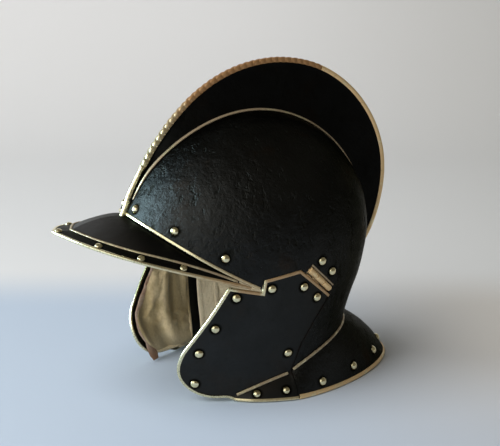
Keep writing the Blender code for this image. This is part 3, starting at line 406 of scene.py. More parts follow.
# %% Rounded and stepped back outlines
def rounded(corners, degrees=5):
    """A closed outline with its corners rounded by arcs. Complex numbers turn them."""
    outline = []
    for i, (y, z, radius) in enumerate(corners):
        if not radius:
            outline.append((y, z))
            continue
        here = complex(y, z)
        before, after = (complex(*corners[k % len(corners)][:2]) - here for k in (i - 1, i + 1))
        before, after = before / abs(before), after / abs(after)
        half = abs(cmath.phase(after / before)) / 2
        centre = here + (before + after) / abs(before + after) * radius / math.sin(half)
        start, end = (here + way * radius / math.tan(half) - centre for way in (before, after))
        swing = cmath.phase(end / start)
        pieces = max(2, math.ceil(abs(swing) / math.radians(degrees)))
        arc = [centre + start * cmath.exp(1j * swing * k / pieces) for k in range(pieces + 1)]
        outline += [(spot.real, spot.imag) for spot in arc]
    return outline


def inset(outline, amounts):
    """Moves each edge of a closed outline inwards, by one amount an edge."""
    points = [complex(*point) for point in outline]
    ahead = points[1:] + points[:1]
    turn = 1j if sum((a.conjugate() * b).imag for a, b in zip(points, ahead)) > 0 else -1j
    runs = [(b - a) / abs(b - a) for a, b in zip(points, ahead)]
    starts = [a + run * turn * amount for a, run, amount in zip(points, runs, amounts)]
    result = []
    for i, (start, run) in enumerate(zip(starts, runs)):
        bend = (runs[i - 1].conjugate() * run).imag
        if abs(bend) > 1e-5:                         # where the two moved edges meet
            share = ((start - starts[i - 1]).conjugate() * run).imag / bend
            start = starts[i - 1] + runs[i - 1] * share
        result.append((start.real, start.imag))
    return result


CHEEK_CORNERS = (              # (Y, Z, rounding) from the rear foot forward and back over the top
    (4.0, 0.8, 0), (-48.0, 0.8, 5), (-54.0, 3.4, 7), (-123.8, 3.4, 34), (-59.8, 108.8, 0),
    (-31.0, 102.3, 0), (-29.4, 113.2, 0), (3.8, 118.9, 0), (36.8, 91.0, 0),
    (19.0, 65.0, 40), (8.8, 47.5, 30), (2.2, 21.0, 0),
)
CHEEK_OUTLINE = rounded(CHEEK_CORNERS)
print("cheekpiece outline has", len(CHEEK_OUTLINE), "points")

# %% [markdown]
# ## A small language for finishes
# A finish is a material made of nodes. Writing `0.4 + pits * 0.1` is easier to read than a web
# of Math nodes, so one small class wraps a socket and turns such sums into nodes.

# %% Sums on sockets
class Amount:
    """A number that varies over a surface: a socket on which sums can be written."""

    def __init__(self, finish, socket):
        self.finish, self.socket = finish, socket

    def math(self, operation, a, b=None):
        sockets = {0: a} if b is None else {0: a, 1: b}
        return self.finish.node("ShaderNodeMath", {"operation": operation}, sockets)

    def __add__(self, other):
        return self.math("ADD", self, other)

    def __sub__(self, other):
        return self.math("SUBTRACT", self, other)

    def __rsub__(self, other):
        return self.math("SUBTRACT", other, self)

    def __mul__(self, other):
        return self.math("MULTIPLY", self, other)

    __radd__, __rmul__ = __add__, __mul__

    def between(self, low, high):
        """0 below low, 1 above high, smooth between."""
        return self.finish.node("ShaderNodeMapRange", {"interpolation_type": "SMOOTHSTEP"},
                                {"Value": self, "From Min": low, "From Max": high})


print("sums can be written on sockets")

# %% [markdown]
# Every node comes from one method that takes its type, its settings and its sockets. The other
# methods are named after what they give: cloudy noise, cells, a mix of colours or a bump.

# %% Nodes of a finish
class Finish:
    """A material, with one method that adds its nodes."""

    def __init__(self, name):
        self.material = bpy.data.materials.new(name)
        self.material.use_nodes = True
        self.tree = self.material.node_tree
        self.shader = self.tree.nodes["Principled BSDF"]

    def feed(self, socket, value):
        if isinstance(value, Amount):
            self.tree.links.new(value.socket, socket)
        else:
            socket.default_value = value

    def node(self, kind, settings=None, sockets=None, out=0):
        node = self.tree.nodes.new(kind)
        for word, value in (settings or {}).items():
            setattr(node, word, value)
        for word, value in (sockets or {}).items():
            self.feed(node.inputs[word], value)
        return Amount(self, node.outputs[out])

    def place(self):
        """The piece's own place, in metres."""
        return self.node("ShaderNodeTexCoord", out="Object")

    def noise(self, size, detail=3.0, roughness=0.5, where=None):
        """Cloudy noise with features of about this size in metres, round 0.5."""
        sockets = {"Vector": where or self.place(), "Scale": 1 / size}
        sockets |= {"Detail": detail, "Roughness": roughness}
        return self.node("ShaderNodeTexNoise", {}, sockets)

    def cells(self, size):
        """Distance to the nearest of many scattered points, 0 at each."""
        sockets = {"Vector": self.place(), "Scale": 1 / size, "Randomness": 1.0}
        return self.node("ShaderNodeTexVoronoi", {}, sockets, out="Distance")

    def mixed(self, share, a, b):
        """Colour a where share is 0, b where it is 1."""
        sockets = {"Factor": share, 6: a, 7: b}
        return self.node("ShaderNodeMix", {"data_type": "RGBA"}, sockets, out=2)

    def larger(self, a, b, clamp=False):
        """The larger of two amounts at each place."""
        settings = {"operation": "MAXIMUM", "use_clamp": clamp}
        return self.node("ShaderNodeMath", settings, {0: a, 1: b})

    def bump(self, height, depth, under=None):
        """A normal from a height that runs from 0 to 1, depth in metres."""
        sockets = {"Height": height, "Distance": depth, "Strength": 1.0}
        if under:
            sockets["Normal"] = under
        return self.node("ShaderNodeBump", {}, sockets)

    def mark(self, name):
        """A value painted on the piece's points."""
        return self.node("ShaderNodeAttribute", {"attribute_name": name}, out="Fac")

    def sets(self, **inputs):
        """Feeds the shader's own sockets."""
        for word, value in inputs.items():
            self.feed(self.shader.inputs[word.replace("_", " ")], value)
        return self


def tint(red, green, blue, times=1):
    """A colour, lighter or darker by a number of times."""
    return red * times, green * times, blue * times, 1


print("finish language ready")

# %% [markdown]
# ### Blackened steel
# Helmets for the field were left black from the hammer, or painted and waxed. The skin is a
# nearly black oxide with a soft sheen, brown where rust has come through and peppered with small
# pits. The bowl is the most worked and the most pitted, the comb is duller, and the cheekpieces
# are smooth. The joint of skull and cheekpieces, the front of the peak and the ground round each
# rivet are marked on the pieces' points later. The finish paints shade along the joint and a pale
# sheen on the peak, and dirties the ground round each rivet.

# %% Steel finishes
def blackened(name, black, pitting, dents, sheen, warmth, wax=0.0):
    """Blackened steel: how light the black is, depth of pits and dents in metres, roughness,
    share of brown, and a coat of wax that shines at a low angle."""
    steel = Finish(name)
    drawn = steel.node("ShaderNodeMapping", {}, {"Vector": steel.place(), "Scale": (1, 1, 0.55)})
    cloud = steel.noise(0.075, 4.0, 0.6)
    grit = steel.noise(0.0030, 4.0, 0.7)
    blister = steel.noise(0.0062, 3.5, 0.6, drawn)
    hammer = steel.noise(0.013, 2.0, 0.45)
    crowd = steel.noise(0.028, 3.0, 0.6).between(0.36, 0.62)
    pits = (1 - blister.between(0.31, 0.46)) * crowd * min(1, pitting / 0.0005)
    rust = steel.noise(0.05, 6.0, 0.68).between(0.52, 0.74) * warmth
    ring, edge = steel.mark("rivet_ring"), steel.mark("joint_shade")
    clean = steel.mixed(cloud.between(0.35, 0.65), tint(0.86, 0.88, 0.84, black),
                        tint(1.14, 1.16, 1.12, black))
    brown = steel.mixed(rust, clean, tint(1.5, 0.86, 0.46, black))
    pitted = steel.mixed(pits * 0.6, brown, tint(0.42, 0.40, 0.20, black))
    dark = steel.mixed(ring.between(0.0, 0.8) * 0.92, pitted, tint(0.08, 0.07, 0.02, black))
    # Painted shade: dark brown along the joint of skull and cheekpieces, where the gap between them
    # lies in shade.
    joint_shaded = steel.mixed(edge * grit.between(0.40, 0.58) * 0.5, dark, tint(0.045, 0.022, 0.012))
    rough = (sheen + (cloud - 0.5) * 0.16 + (grit - 0.5) * 0.42 + pits * 0.22 + rust * 0.10
             + edge * 0.4)
    relief = steel.bump(hammer, dents)
    relief = steel.bump(grit, pitting * 1.1, relief)
    relief = steel.bump(1 - pits, pitting * 0.8, relief)
    # Painted sheen: a paler grey on the front of the peak.
    painted_sheen = steel.mixed(steel.mark("painted_sheen"), joint_shaded, tint(0.18, 0.172, 0.175))
    steel.sets(Base_Color=painted_sheen, Metallic=1.0, Roughness=rough, Normal=relief,
               Specular_Tint=tint(0.4, 0.4, 0.38), Coat_Weight=wax, Coat_Roughness=0.38)
    return steel.material


BOWL_STEEL = blackened("bowl_steel", 0.027, 0.00065, 0.0012, 0.33, 0.6)
COMB_STEEL = blackened("comb_steel", 0.011, 0.00028, 0.0006, 0.50, 0.5)
CHEEK_STEEL = blackened("cheek_steel", 0.033, 0.00010, 0.0004, 0.46, 0.2)
PEAK_STEEL = blackened("peak_steel", 0.020, 0.00018, 0.0005, 0.38, 0.4, 0.15)
STEELS = (BOWL_STEEL, COMB_STEEL, CHEEK_STEEL, PEAK_STEEL)
print("steel finishes:", [material.name for material in STEELS])

# %% [markdown]
# ### Brass
# Old brass is never one yellow. It is pale and bright, blotched at random with a reddish brown
# film and streaked with dirt. The same reddish brown is painted on as shade where a piece lies in
# shade, a dark brown is painted as shade on the far cheekpiece's edging, and a rivet head is darker
# towards its foot. One finish with a share of film serves every edging, wire and rivet.

# %% Brass finishes
def old_brass(name, film, shine, grain, film_colour=tint(0.42, 0.25, 0.12)):
    """Brass with a share of reddish film, a roughness and a depth of grain in metres. Marks
    painted on a piece add the reddish brown as painted shade where the brass lies in shade, and a
    dark brown that is painted shade on the far cheekpiece's edging and darkens a rivet's foot."""
    brass = Finish(name)
    cloud = brass.noise(0.02, 4.0, 0.6)
    grit = brass.noise(0.0016, 4.0, 0.6)
    streak = brass.noise(0.006, 5.0, 0.65)
    blotch = (cloud * 0.55 + streak * 0.45).between(0.62 - film * 0.4, 0.80 - film * 0.4)
    # Film in random blotches, and the same reddish brown painted on as shade where a piece's mark
    # says so.
    film_and_shade = brass.larger(blotch, brass.mark("painted_shade_film") * (0.4 + streak), clamp=True)
    bright = brass.mixed(grit.between(0.35, 0.65), tint(0.78, 0.69, 0.41), tint(0.92, 0.85, 0.57))
    red = brass.mixed(film_and_shade * 0.9, bright, film_colour)
    # A dark brown: dirt in random streaks, painted shade where a piece's mark says so, and a darker
    # foot on rivet heads.
    dirt_and_shade = brass.larger(brass.mark("darkened_and_shaded"), streak.between(0.60, 0.76) * 0.4)
    dirtied_and_shaded = brass.mixed(dirt_and_shade, red, tint(0.12, 0.095, 0.03))
    rough = shine + film_and_shade * 0.14 + (grit - 0.5) * 0.16
    brass.sets(Base_Color=dirtied_and_shaded, Metallic=1 - film_and_shade * 0.4, Roughness=rough,
               Normal=brass.bump(grit * 0.5 + streak * 0.5, grain))
    return brass.material


EDGE_BRASS = old_brass("edge_brass", 0.13, 0.27, 0.0002)
ROPE_BRASS = old_brass("rope_brass", 0.12, 0.28, 0.0003, tint(0.37, 0.165, 0.05))
GOLD_BRASS = old_brass("gold_brass", 0.75, 0.30, 0.0002, tint(0.84, 0.57, 0.28))
WIRE_BRASS = old_brass("wire_brass", 0.7, 0.34, 0.0002, tint(0.34, 0.25, 0.16))
RIVET_BRASS = old_brass("rivet_brass", 0.12, 0.22, 0.00008)
BRASSES = (EDGE_BRASS, ROPE_BRASS, GOLD_BRASS, WIRE_BRASS, RIVET_BRASS)
print("brass finishes:", [material.name for material in BRASSES])

# %% [markdown]
# ### Linen and leather
# The lining is coarse undyed linen, sandy where it is clean and olive brown where it is stained.
# Its weave follows the cloth, so it is drawn on the piece's own UV map: two sets of waves, one
# across the other. The strip sewn to its front edge is pinkish tan leather.

# %% Cloth finishes
def linen(name, threads_u, threads_v, light, shade):
    """Woven linen with a number of threads across each way of its UV map."""
    cloth = Finish(name)
    flat = cloth.node("ShaderNodeTexCoord", out="UV")
    waves = []
    for way, threads in (("X", threads_u), ("Y", threads_v)):
        run = cloth.node("ShaderNodeSeparateXYZ", {}, {"Vector": flat}, out=way)
        waves.append(run.math("SINE", run * (threads * math.pi)))
    warp, weft = waves
    weave = warp * warp * 0.5 + weft * weft * 0.5
    slub = cloth.noise(0.003, 4.0, 0.6)
    stain = cloth.noise(0.045, 5.0, 0.62).between(0.40, 0.62)
    thread = cloth.mixed(stain, light, shade)
    # Painted shade: darker where the linen lies close to the plate, in the valleys between the
    # folds.
    fold_shaded = cloth.mixed(cloth.mark("fold_shade") * 0.6, thread, tint(*shade[:3], 0.45))
    darker = cloth.mixed((1 - weave) * 0.14 + (slub - 0.5) * 0.4, fold_shaded, tint(0.26, 0.20, 0.11))
    relief = cloth.bump(slub, 0.0006)
    relief = cloth.bump(weave, 0.00016, relief)
    cloth.sets(Base_Color=darker, Roughness=0.92, Normal=relief, Sheen_Weight=0.25,
               Sheen_Roughness=0.5)
    return cloth.material


def tanned(name, colour, dark):
    """Vegetable tanned leather with fine creases, darker at its lower end."""
    hide = Finish(name)
    cloud = hide.noise(0.012, 5.0, 0.65)
    crease = hide.cells(0.0022)
    height = hide.node("ShaderNodeSeparateXYZ", {}, {"Vector": hide.place()}, out="Z")
    darker = hide.larger(1 - height.between(0.004, 0.022), cloud.between(0.4, 0.75))
    skin = hide.mixed(darker, colour, dark)
    hide.sets(Base_Color=hide.mixed((1 - crease.between(0.1, 0.5)) * 0.3, skin, dark),
              Roughness=0.62 + (cloud - 0.5) * 0.3, Normal=hide.bump(crease, 0.0003))
    return hide.material


SKULL_LINEN = linen("skull_linen", 620, 380, tint(0.90, 0.79, 0.57), tint(0.76, 0.64, 0.43))
CHEEK_LINEN = linen("cheek_linen", 66, 120, tint(0.90, 0.73, 0.44), tint(0.46, 0.35, 0.17))
LEATHER = tanned("strip_leather", tint(0.52, 0.39, 0.30), tint(0.30, 0.165, 0.10))
print("soft finishes:", [material.name for material in (SKULL_LINEN, CHEEK_LINEN, LEATHER)])

# %% [markdown]
# Marks such as dirt round a rivet belong to a place on a piece. They are painted on its points
# as an attribute, and its finish reads them by name.

# %% Mark and dress a piece
def marked(obj, name, value):
    """Paints value(point) on each of a piece's points, for its finish to read."""
    layer = obj.data.attributes.get(name) or obj.data.attributes.new(name, "FLOAT", "POINT")
    layer.data.foreach_set("value", [float(value(vertex.co)) for vertex in obj.data.vertices])
    return obj


def eased(value, low, high):
    """0 below low, 1 above high, smooth between."""
    t = min(1, max(0, (value - low) / (high - low)))
    return t * t * (3 - 2 * t)


def dressed(obj, material):
    obj.data.materials.clear()
    obj.data.materials.append(material)
    return obj


print("ready to mark and dress pieces")

# %% [markdown]
# A finished piece wears its finish, rides on its body and stands for its measured node. One
# helper does all that and measures the piece, and a second one finishes a left piece and its
# mirror image together.

# %% Finish a piece and its mirror image
def finished(obj, material, slot, body, *nodes):
    """Gives a piece its finish and body, hides the measured nodes it stands for, and measures it.
    The slot is not used.
    """
    if material:
        dressed(obj, material)
    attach(obj, body)
    if nodes:
        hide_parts(*nodes)
    return measured(obj)


def mirrored(obj, name):
    """A right-hand copy of a left-hand piece, with its own mesh."""
    only(obj)
    bpy.ops.object.duplicate(linked=False)
    twin = bpy.context.object
    twin.name = twin.data.name = name
    twin.data.transform(Matrix.Scale(-1, 4, (1, 0, 0)))
    twin.data.flip_normals()
    return twin


def finished_pair(obj, material, slot, node=None, body="cheek", twin=None):
    """Finishes a left piece and its mirror image, each on its own body and for its own node."""
    twin = twin or mirrored(obj, obj.name.replace("left", "right"))
    for piece, side in zip((obj, twin), SIDES):
        nodes = [f"{node}_{side}"] if node else []
        finished(piece, material, slot, "helmet" if body == "helmet" else f"cheek_{side}", *nodes)
    return twin


def flip_x(point):
    return Vector((-point.x, point.y, point.z))


print("ready to finish pieces")

# %% [markdown]
# ## The bowl
# Bowl, nape and neck guard are one plate on the real helmet, raised from a disc of steel. Its
# rim is at the bottom of the grid and its crown at the top, under the comb.

# %% Raise the bowl
SKULL_THICK = 1.8 * MM
BIND_CLEAR, BRASS = 0.35 * MM, 0.7 * MM
RIM_FLAT = 0.25 * MM


def rim_edge_level(angle, distance):
    """Level on the flare that lies a distance in from the outer face of the rim's edging."""
    normal_z = skull_normal(angle, -0.97).z
    foot = (SKULL_THICK + BIND_CLEAR + BRASS) * normal_z - RIM_FLAT
    return flare_level(angle, max(0.0, foot) + distance * math.sqrt(1 - normal_z**2))


BOWL_COLUMNS, BOWL_ROWS = 232, 132
FLARE_ROWS, NAPE_ROWS = 0.22, 0.34             # shares of the rows, from the rim upwards


def ring_angle(column, columns):
    """Angle of a column of a closed sheet, whose seam lies in front."""
    return 360 * (column % columns) / columns - 90


rim_levels = [rim_edge_level(ring_angle(k, BOWL_COLUMNS), BIND_CLEAR + BRASS)
              for k in range(BOWL_COLUMNS)]


def bowl_place(u, v):
    column = round(u * BOWL_COLUMNS)
    widest = FLARE_ROWS + NAPE_ROWS
    if v < FLARE_ROWS:
        level = rim_levels[column % BOWL_COLUMNS] * (1 - v / FLARE_ROWS)
    else:
        level = (v - FLARE_ROWS) / NAPE_ROWS if v < widest else 1 + (v - widest) / (1 - widest)
    return skull_point(ring_angle(column, BOWL_COLUMNS), min(2, level))


bowl = raised_sheet("bowl", BOWL_COLUMNS, BOWL_ROWS, bowl_place, sewn=True)
print("bowl's sheet has", len(bowl.data.polygons), "faces")

# %% [markdown]
# The sheet is pushed in and out a little along its normals, as the hammer left it, so that
# reflections waver as they do on worked metal. When it has its thickness, everything in front of
# its edge is cut away, and the edge is stepped back for its brass.

# %% Hammer, thicken and cut the bowl
def hammered(obj, depth, size, seed=0.0):
    """Pushes the points in and out along their normals, as hammer work does."""
    shift = Vector((seed, seed * 1.7, -seed))
    moves = [vertex.normal * depth * (noise.noise(vertex.co / size + shift)
                                      + 0.5 * noise.noise(vertex.co / (size * 0.42) - shift))
             for vertex in obj.data.vertices]
    for vertex, move in zip(obj.data.vertices, moves):
        vertex.co += move
    return obj


def face_opening():
    """Everything in front of the skull's edge, seen from the side."""
    rear = rounded(CHEEK_CORNERS[6:] + CHEEK_CORNERS[:1])
    brow = [(y, brow_at(y)) for y in np.linspace(-260, CHEEK_CORNERS[5][0] - 0.4, 48)]
    outline = [(-260, -30)] + brow + rear + [(4.2, -30)]
    edge = (BIND_CLEAR + BRASS) / MM
    rear_edges = len(outline) - len(brow) - 4
    amounts = [0] + [-edge] * (len(brow) - 1) + [-0.5] * 3 + [-0.5] * rear_edges + [0]
    return prism(inset(outline, amounts))


hammered(bowl, 0.28 * MM, 0.021)
thickened(bowl, SKULL_THICK)
cut(bowl, face_opening())
measured(bowl)

# %% [markdown]
# Two notches make room for the barrels of the hinges. They are cut through both sides at once,
# because the helmet is the same on the left and on the right.

# %% Notches for the hinges
HINGE_ENDS = ((11.8, 118.8), (37.2, 95.5))     # (Y, Z) of the run it follows on the plate
HINGE_LENGTH = 33 * MM
(y1, z1), (y2, z2) = HINGE_ENDS
hinge_middle = np.array(((y1 + y2) / 2, (z1 + z2) / 2))
hinge_run = np.array((y2 - y1, z2 - z1)) / math.dist(*HINGE_ENDS)
hinge_up = np.array((-hinge_run[1], hinge_run[0]))
NOTCH_HALF, NOTCH_TOP, NOTCH_FOOT = (HINGE_LENGTH / 2 / MM + 1.4) * 0.97, 3.9, -12
notch = [tuple(hinge_middle + hinge_run * a + hinge_up * b)
         for a, b in ((-NOTCH_HALF, NOTCH_TOP), (NOTCH_HALF, NOTCH_TOP),
                      (NOTCH_HALF, NOTCH_FOOT), (-NOTCH_HALF, NOTCH_FOOT))]
cut(bowl, prism(notch))
smoothed(bowl, 32)
finished(bowl, BOWL_STEEL, "blackened_steel", "helmet", "skull")

# %% [markdown]
# ## The comb
# The comb is a high crest raised from the same steel, thin at its folded edge and spreading
# into the bowl at its root. A section runs from the root over the edge and down again, and the
# sheet carries it along the comb's profile from the brow to the nape.

# %% Profile of the comb
COMB_EDGE = (
    (-120, 160), (-117.5, 172.6), (-111.4, 187.5), (-101.8, 205.9), (-89, 225),
    (-70.9, 246.2), (-52, 263), (-32, 275.5), (-11.5, 283.8), (9, 288.3),
    (25, 289.5), (40.5, 288.5), (56, 285.6), (72.3, 280), (89, 270.8),
    (106.3, 256.8), (121.3, 238.7), (132.8, 217.2), (139.3, 193.3), (140, 173),
    (137.2, 153.4), (131.8, 134.2), (122.5, 115), (104.5, 95),
)
COMB_ROOT = ((0, 3.6), (0.12, 7.0), (0.3, 8.6), (0.8, 8.2), (1, 4.2))   # share, half width


def run_lengths(points):
    """The length travelled at each point of a line of points."""
    steps = [0.0]
    for a, b in zip(points[:-1], points[1:]):
        steps.append(steps[-1] + max(math.dist(a, b), 1e-6))
    return steps


comb_steps = run_lengths(COMB_EDGE)
comb_across, comb_up = (smooth_line(comb_steps, [row[k] for row in COMB_EDGE]) for k in (0, 1))
root_half_at = smooth_line([row[0] for row in COMB_ROOT], [row[1] * MM for row in COMB_ROOT])
print("comb's edge runs", round(comb_steps[-1]), "mm")

# %% [markdown]
# The comb's foot has to be found on the bowl. It is sought from the axis in a direction seen
# from the side, by correcting the radius until its point lies on the form.

# %% Stations of the comb
COMB_EDGE_HALF, COMB_LEAST, COMB_STRAIGHT, COMB_START = 1.7 * MM, 2.0 * MM, 5.2 * MM, 4.0


def ridge_point(x, direction):
    """Outer face of the bowl at x from the middle plane, in a direction seen from the side
    (0 rear, 90 up, 180 front) from the axis at the widest height."""
    turn = math.radians(direction)
    cosine, sine = math.cos(turn), math.sin(turn)
    radius = 0.12
    for _ in range(30):
        z = WIDEST_Z + radius * sine
        reach = REAR_REACH(z) if cosine > 0 else FRONT_REACH(z)
        up = (sine / (CROWN_Z - WIDEST_Z))**2 if sine > 0 else 0
        level_share = 1 - (x / HALF_WIDTH(z))**2
        radius = 0.5 * radius + 0.5 * math.sqrt(level_share / ((cosine / reach)**2 + up))
    return Vector((x, AXIS_Y + radius * cosine, WIDEST_Z + radius * sine))


def ridge_normal(x, direction):
    across = ridge_point(x + MM, direction) - ridge_point(x - MM, direction)
    along = ridge_point(x, direction - 0.5) - ridge_point(x, direction + 0.5)
    return across.cross(along).normalized()


def comb_spot(share):
    """Edge point seen from the side, and its direction, at a share of the comb's run."""
    run = COMB_START + (comb_steps[-1] - COMB_START) * share
    y, z = comb_across(run), comb_up(run)
    return y, z, math.degrees(math.atan2(z - WIDEST_Z / MM, y))


FIRST_WAY, LAST_WAY = comb_spot(0)[2], comb_spot(1)[2]


def comb_root_half(direction):
    return root_half_at((FIRST_WAY - direction) / (FIRST_WAY - LAST_WAY))


def comb_station(share):
    """Direction, foot on the bowl, way outwards, height, and depth of the straight part."""
    y, z, direction = comb_spot(share)
    turn = math.radians(direction)
    outward = Vector((0, math.cos(turn), math.sin(turn)))
    foot = ridge_point(0, direction)
    height = max((Vector((0, y * MM + AXIS_Y, z * MM)) - foot).dot(outward), COMB_LEAST)
    return direction, foot, outward, height, min(COMB_STRAIGHT, 0.75 * height)


print("comb stands", round(comb_station(0.5)[3] / MM), "mm above the bowl")

# %% [markdown]
# From its foot each wall leans in and grows a little more upright, and its last few millimetres
# are straight, where the brass grips it. The two walls meet over the edge in a narrow flat. The
# root is sunk a little into the bowl, so that no gap shows under the comb.

# %% Raise the comb
COMB_COLUMNS, COMB_SLOPE_ROWS, COMB_STRAIGHT_ROWS = 220, 28, 6
comb_stations = [comb_station(k / COMB_COLUMNS) for k in range(COMB_COLUMNS + 1)]


def comb_section(station):
    """Half of a section, from the root up to the edge, as points on the left."""
    direction, foot, outward, height, straight = station
    root = comb_root_half(direction)
    slope = height - straight
    points = [ridge_point(root, direction) - ridge_normal(root, direction) * 1.1 * MM]
    lifts = [slope * k / COMB_SLOPE_ROWS for k in range(COMB_SLOPE_ROWS)]
    lifts += [slope + straight * k / (COMB_STRAIGHT_ROWS - 1) for k in range(COMB_STRAIGHT_ROWS)]
    for lift in lifts:
        reach = max(0.0, 1 - lift / slope)
        half = COMB_EDGE_HALF + (root - COMB_EDGE_HALF) * reach**1.2
        drop = (root**2 / 0.2) * reach
        points.append(foot + outward * (lift - drop) + Vector((half, 0, 0)))
    return points


comb_rings = []
for station in comb_stations:
    left = comb_section(station)
    comb_rings.append(left + [flip_x(point) for point in reversed(left)])
ring_size = len(comb_rings[0])


def comb_place(u, v):
    return comb_rings[round(u * COMB_COLUMNS)][round(v * ring_size) % ring_size]


def ends_closed(obj):
    """Fills the open ends of a tube and turns its skin outwards."""
    return in_edit(obj, holes_filled, faces_out)


comb = raised_sheet("comb", COMB_COLUMNS, ring_size, comb_place, sewn=True)
ends_closed(comb)
hammered(comb, 0.22 * MM, 0.026, 3.1)
smoothed(comb, 40)
finished(comb, COMB_STEEL, "blackened_steel", "helmet", "skull")

# %% [markdown]
# ## The peak
# The peak is a separate plate, tucked up inside the brow and riveted there. It spreads forward
# from the brow in nearly straight rulings to a rim like a ship's bow, and a shallow band, marked
# by a brass wire, runs along the rim.

# %% Rulings of the peak
PEAK_RIM = (
    (0, -186.5), (16, -180.5), (31, -173.5), (45, -164.5), (58, -153), (68, -140),
    (76, -124), (82.5, -105), (87.5, -84), (91, -62), (92.5, -45), (92.5, -33),
)
PEAK_RIM_Z, PEAK_RIM_SLOPE, PEAK_THICK = 151.5 * MM, -0.303, 1.4 * MM
PEAK_BAND = (17, 14.5, 13, 11.4, 7.0, 1.0)     # width between brass line and rim, tip to temple
PEAK_DIP, PEAK_END_ANGLE, PEAK_FAN, PEAK_TUCK = 3 * MM, -13.4, 1.26, 12 * MM
PEAK_END, PEAK_BRASS_END, PEAK_LINE_END = 0.92, 0.955, 0.90
GAP = 0.4 * MM
peak_steps = run_lengths(PEAK_RIM)
peak_x, peak_y = (smooth_line(peak_steps, [row[k] * MM for row in PEAK_RIM]) for k in (0, 1))
band_width = smooth_line([k / 5 for k in range(6)], [width * MM for width in PEAK_BAND])


def peak_station(share):
    """Brow, band line and rim points of the left half of the peak, tip (0) to temple (1)."""
    x, y = peak_x(share * peak_steps[-1]), peak_y(share * peak_steps[-1])
    edge = Vector((x, y + AXIS_Y, PEAK_RIM_Z + PEAK_RIM_SLOPE * (y - PEAK_RIM[0][1] * MM)))
    angle = -90 + (90 + PEAK_END_ANGLE) * share**PEAK_FAN
    level = brow_level(angle)
    brow = skull_point(angle, level)
    down = (skull_point(angle, level - 0.02) - brow).normalized()
    band = edge - (edge - brow).normalized() * band_width(share)
    band.z -= PEAK_DIP * (1 - share)**2
    return angle, level, brow, down, band, edge


def peak_row(share):
    """Points of the peak's upper face from the tuck inside the brow out to the rim."""
    angle, level, brow, down, band, edge = peak_station(share)
    depth = SKULL_THICK + GAP
    high = level_at(angle, brow.z + PEAK_TUCK)
    fold = sunk_point(angle, level, depth + 0.4 * MM) + down * 0.9 * MM
    lip = brow + down * (1.1 + 0.7 * share**4) * MM + skull_normal(angle, level) * 0.6 * MM
    inner_edge = edge + (band - edge).normalized() * (BIND_CLEAR + BRASS)
    swell = (3.2 * (1 - share)**2.5 + 0.6) * MM
    keel = [lip.lerp(band, t) + Vector((0, 0, swell * math.sin(math.pi * t)**0.7))
            for t in (0.12, 0.25, 0.4, 0.55, 0.7, 0.82, 0.92)]
    return [sunk_point(angle, high, depth + 1.1 * MM),
            sunk_point(angle, (high + level) / 2, depth + 1.1 * MM),
            fold, lip, *keel, band, band.lerp(inner_edge, 0.5), inner_edge]


print("a ruling of the peak has", len(peak_row(0)), "points")

# %% [markdown]
# Sheet metal has no sharp bends, so those of a ruling are eased as more points are spread along
# it. Only the left half is worked out, and its mirror image completes the sheet.

# %% Raise the peak
def softened(points, count):
    """More points along a row, on straight runs with the bends between them eased."""
    steps = run_lengths(points)
    result = []
    for k in range(count + 1):
        total, shifts = Vector((0, 0, 0)), (-1.6, -0.8, 0, 0.8, 1.6)
        for shift in shifts:
            at = steps[-1] * k / count + shift * MM * min(1, k, count - k)
            at = min(max(at, 0), steps[-1])
            i = max(i for i in range(len(steps) - 1) if steps[i] <= at + 1e-12)
            total += points[i].lerp(points[i + 1], (at - steps[i]) / (steps[i + 1] - steps[i]))
        result.append(total / len(shifts))
    return result


def both_halves(left):
    """Rows of the left half, from the tip on, with their mirror images before them."""
    return [[flip_x(value) for value in row] for row in reversed(left[1:])] + left


PEAK_HALF, PEAK_ROWS = 68, 44
peak_rows = both_halves([softened(peak_row(PEAK_END * k / PEAK_HALF), PEAK_ROWS)
                         for k in range(PEAK_HALF + 1)])


def peak_place(u, v):
    return peak_rows[round(u * 2 * PEAK_HALF)][round((1 - v) * PEAK_ROWS)]


peak = raised_sheet("peak_plate", 2 * PEAK_HALF, PEAK_ROWS, peak_place)
hammered(peak, 0.12 * MM, 0.018, 5.5)
thickened(peak, PEAK_THICK)
smoothed(peak, 40)
finished(peak, PEAK_STEEL, "blackened_steel", "helmet", "peak")

# %% [markdown]
# ## The cheekpieces
# A cheekpiece is a plate raised over the same form as the skull, cut to its outline and flared
# at its foot to carry on the line of the neck guard. The left one is made, and the right one is
# its mirror image with its skin turned the right way round.

# %% Raise the left cheekpiece and mirror it
CHEEK_THICK, CHEEK_FRAME = 1.5 * MM, 9


def cheek_place(u, v):
    level = -1 + v / 0.3 if v < 0.3 else (v - 0.3) / 0.7
    return skull_point(-62 + 89 * u, level)


def cheek_cutter():
    """The left cheekpiece's outline, stepped back for its edging, and its edged run."""
    edge = (BIND_CLEAR + BRASS) / MM
    framed = CHEEK_OUTLINE.index(CHEEK_CORNERS[CHEEK_FRAME - 1][:2])
    front = CHEEK_OUTLINE.index(CHEEK_CORNERS[4][:2])
    amounts = ([edge + 1.2] * front + [edge + 0.5] + [edge] * (framed - front - 1)
               + [0] * (len(CHEEK_OUTLINE) - framed))
    return prism(inset(CHEEK_OUTLINE, amounts), 0.02, 0.16), CHEEK_OUTLINE[:framed + 1]


cheek = raised_sheet("cheek_left", 120, 120, cheek_place)
hammered(cheek, 0.14 * MM, 0.03, 8.2)
thickened(cheek, CHEEK_THICK)
cheek_prism, framed_outline = cheek_cutter()
cut(cheek, cheek_prism, "INTERSECT")
smoothed(cheek, 32)
finished_pair(cheek, CHEEK_STEEL, "blackened_steel", "cheek_plate")

# %% [markdown]
# ## Brass edging
# Each edge is gripped by a strip of brass folded into a channel. Folding leaves its outer side
# round and its two legs flat on the plate. A section is drawn once, then carried along each edge.

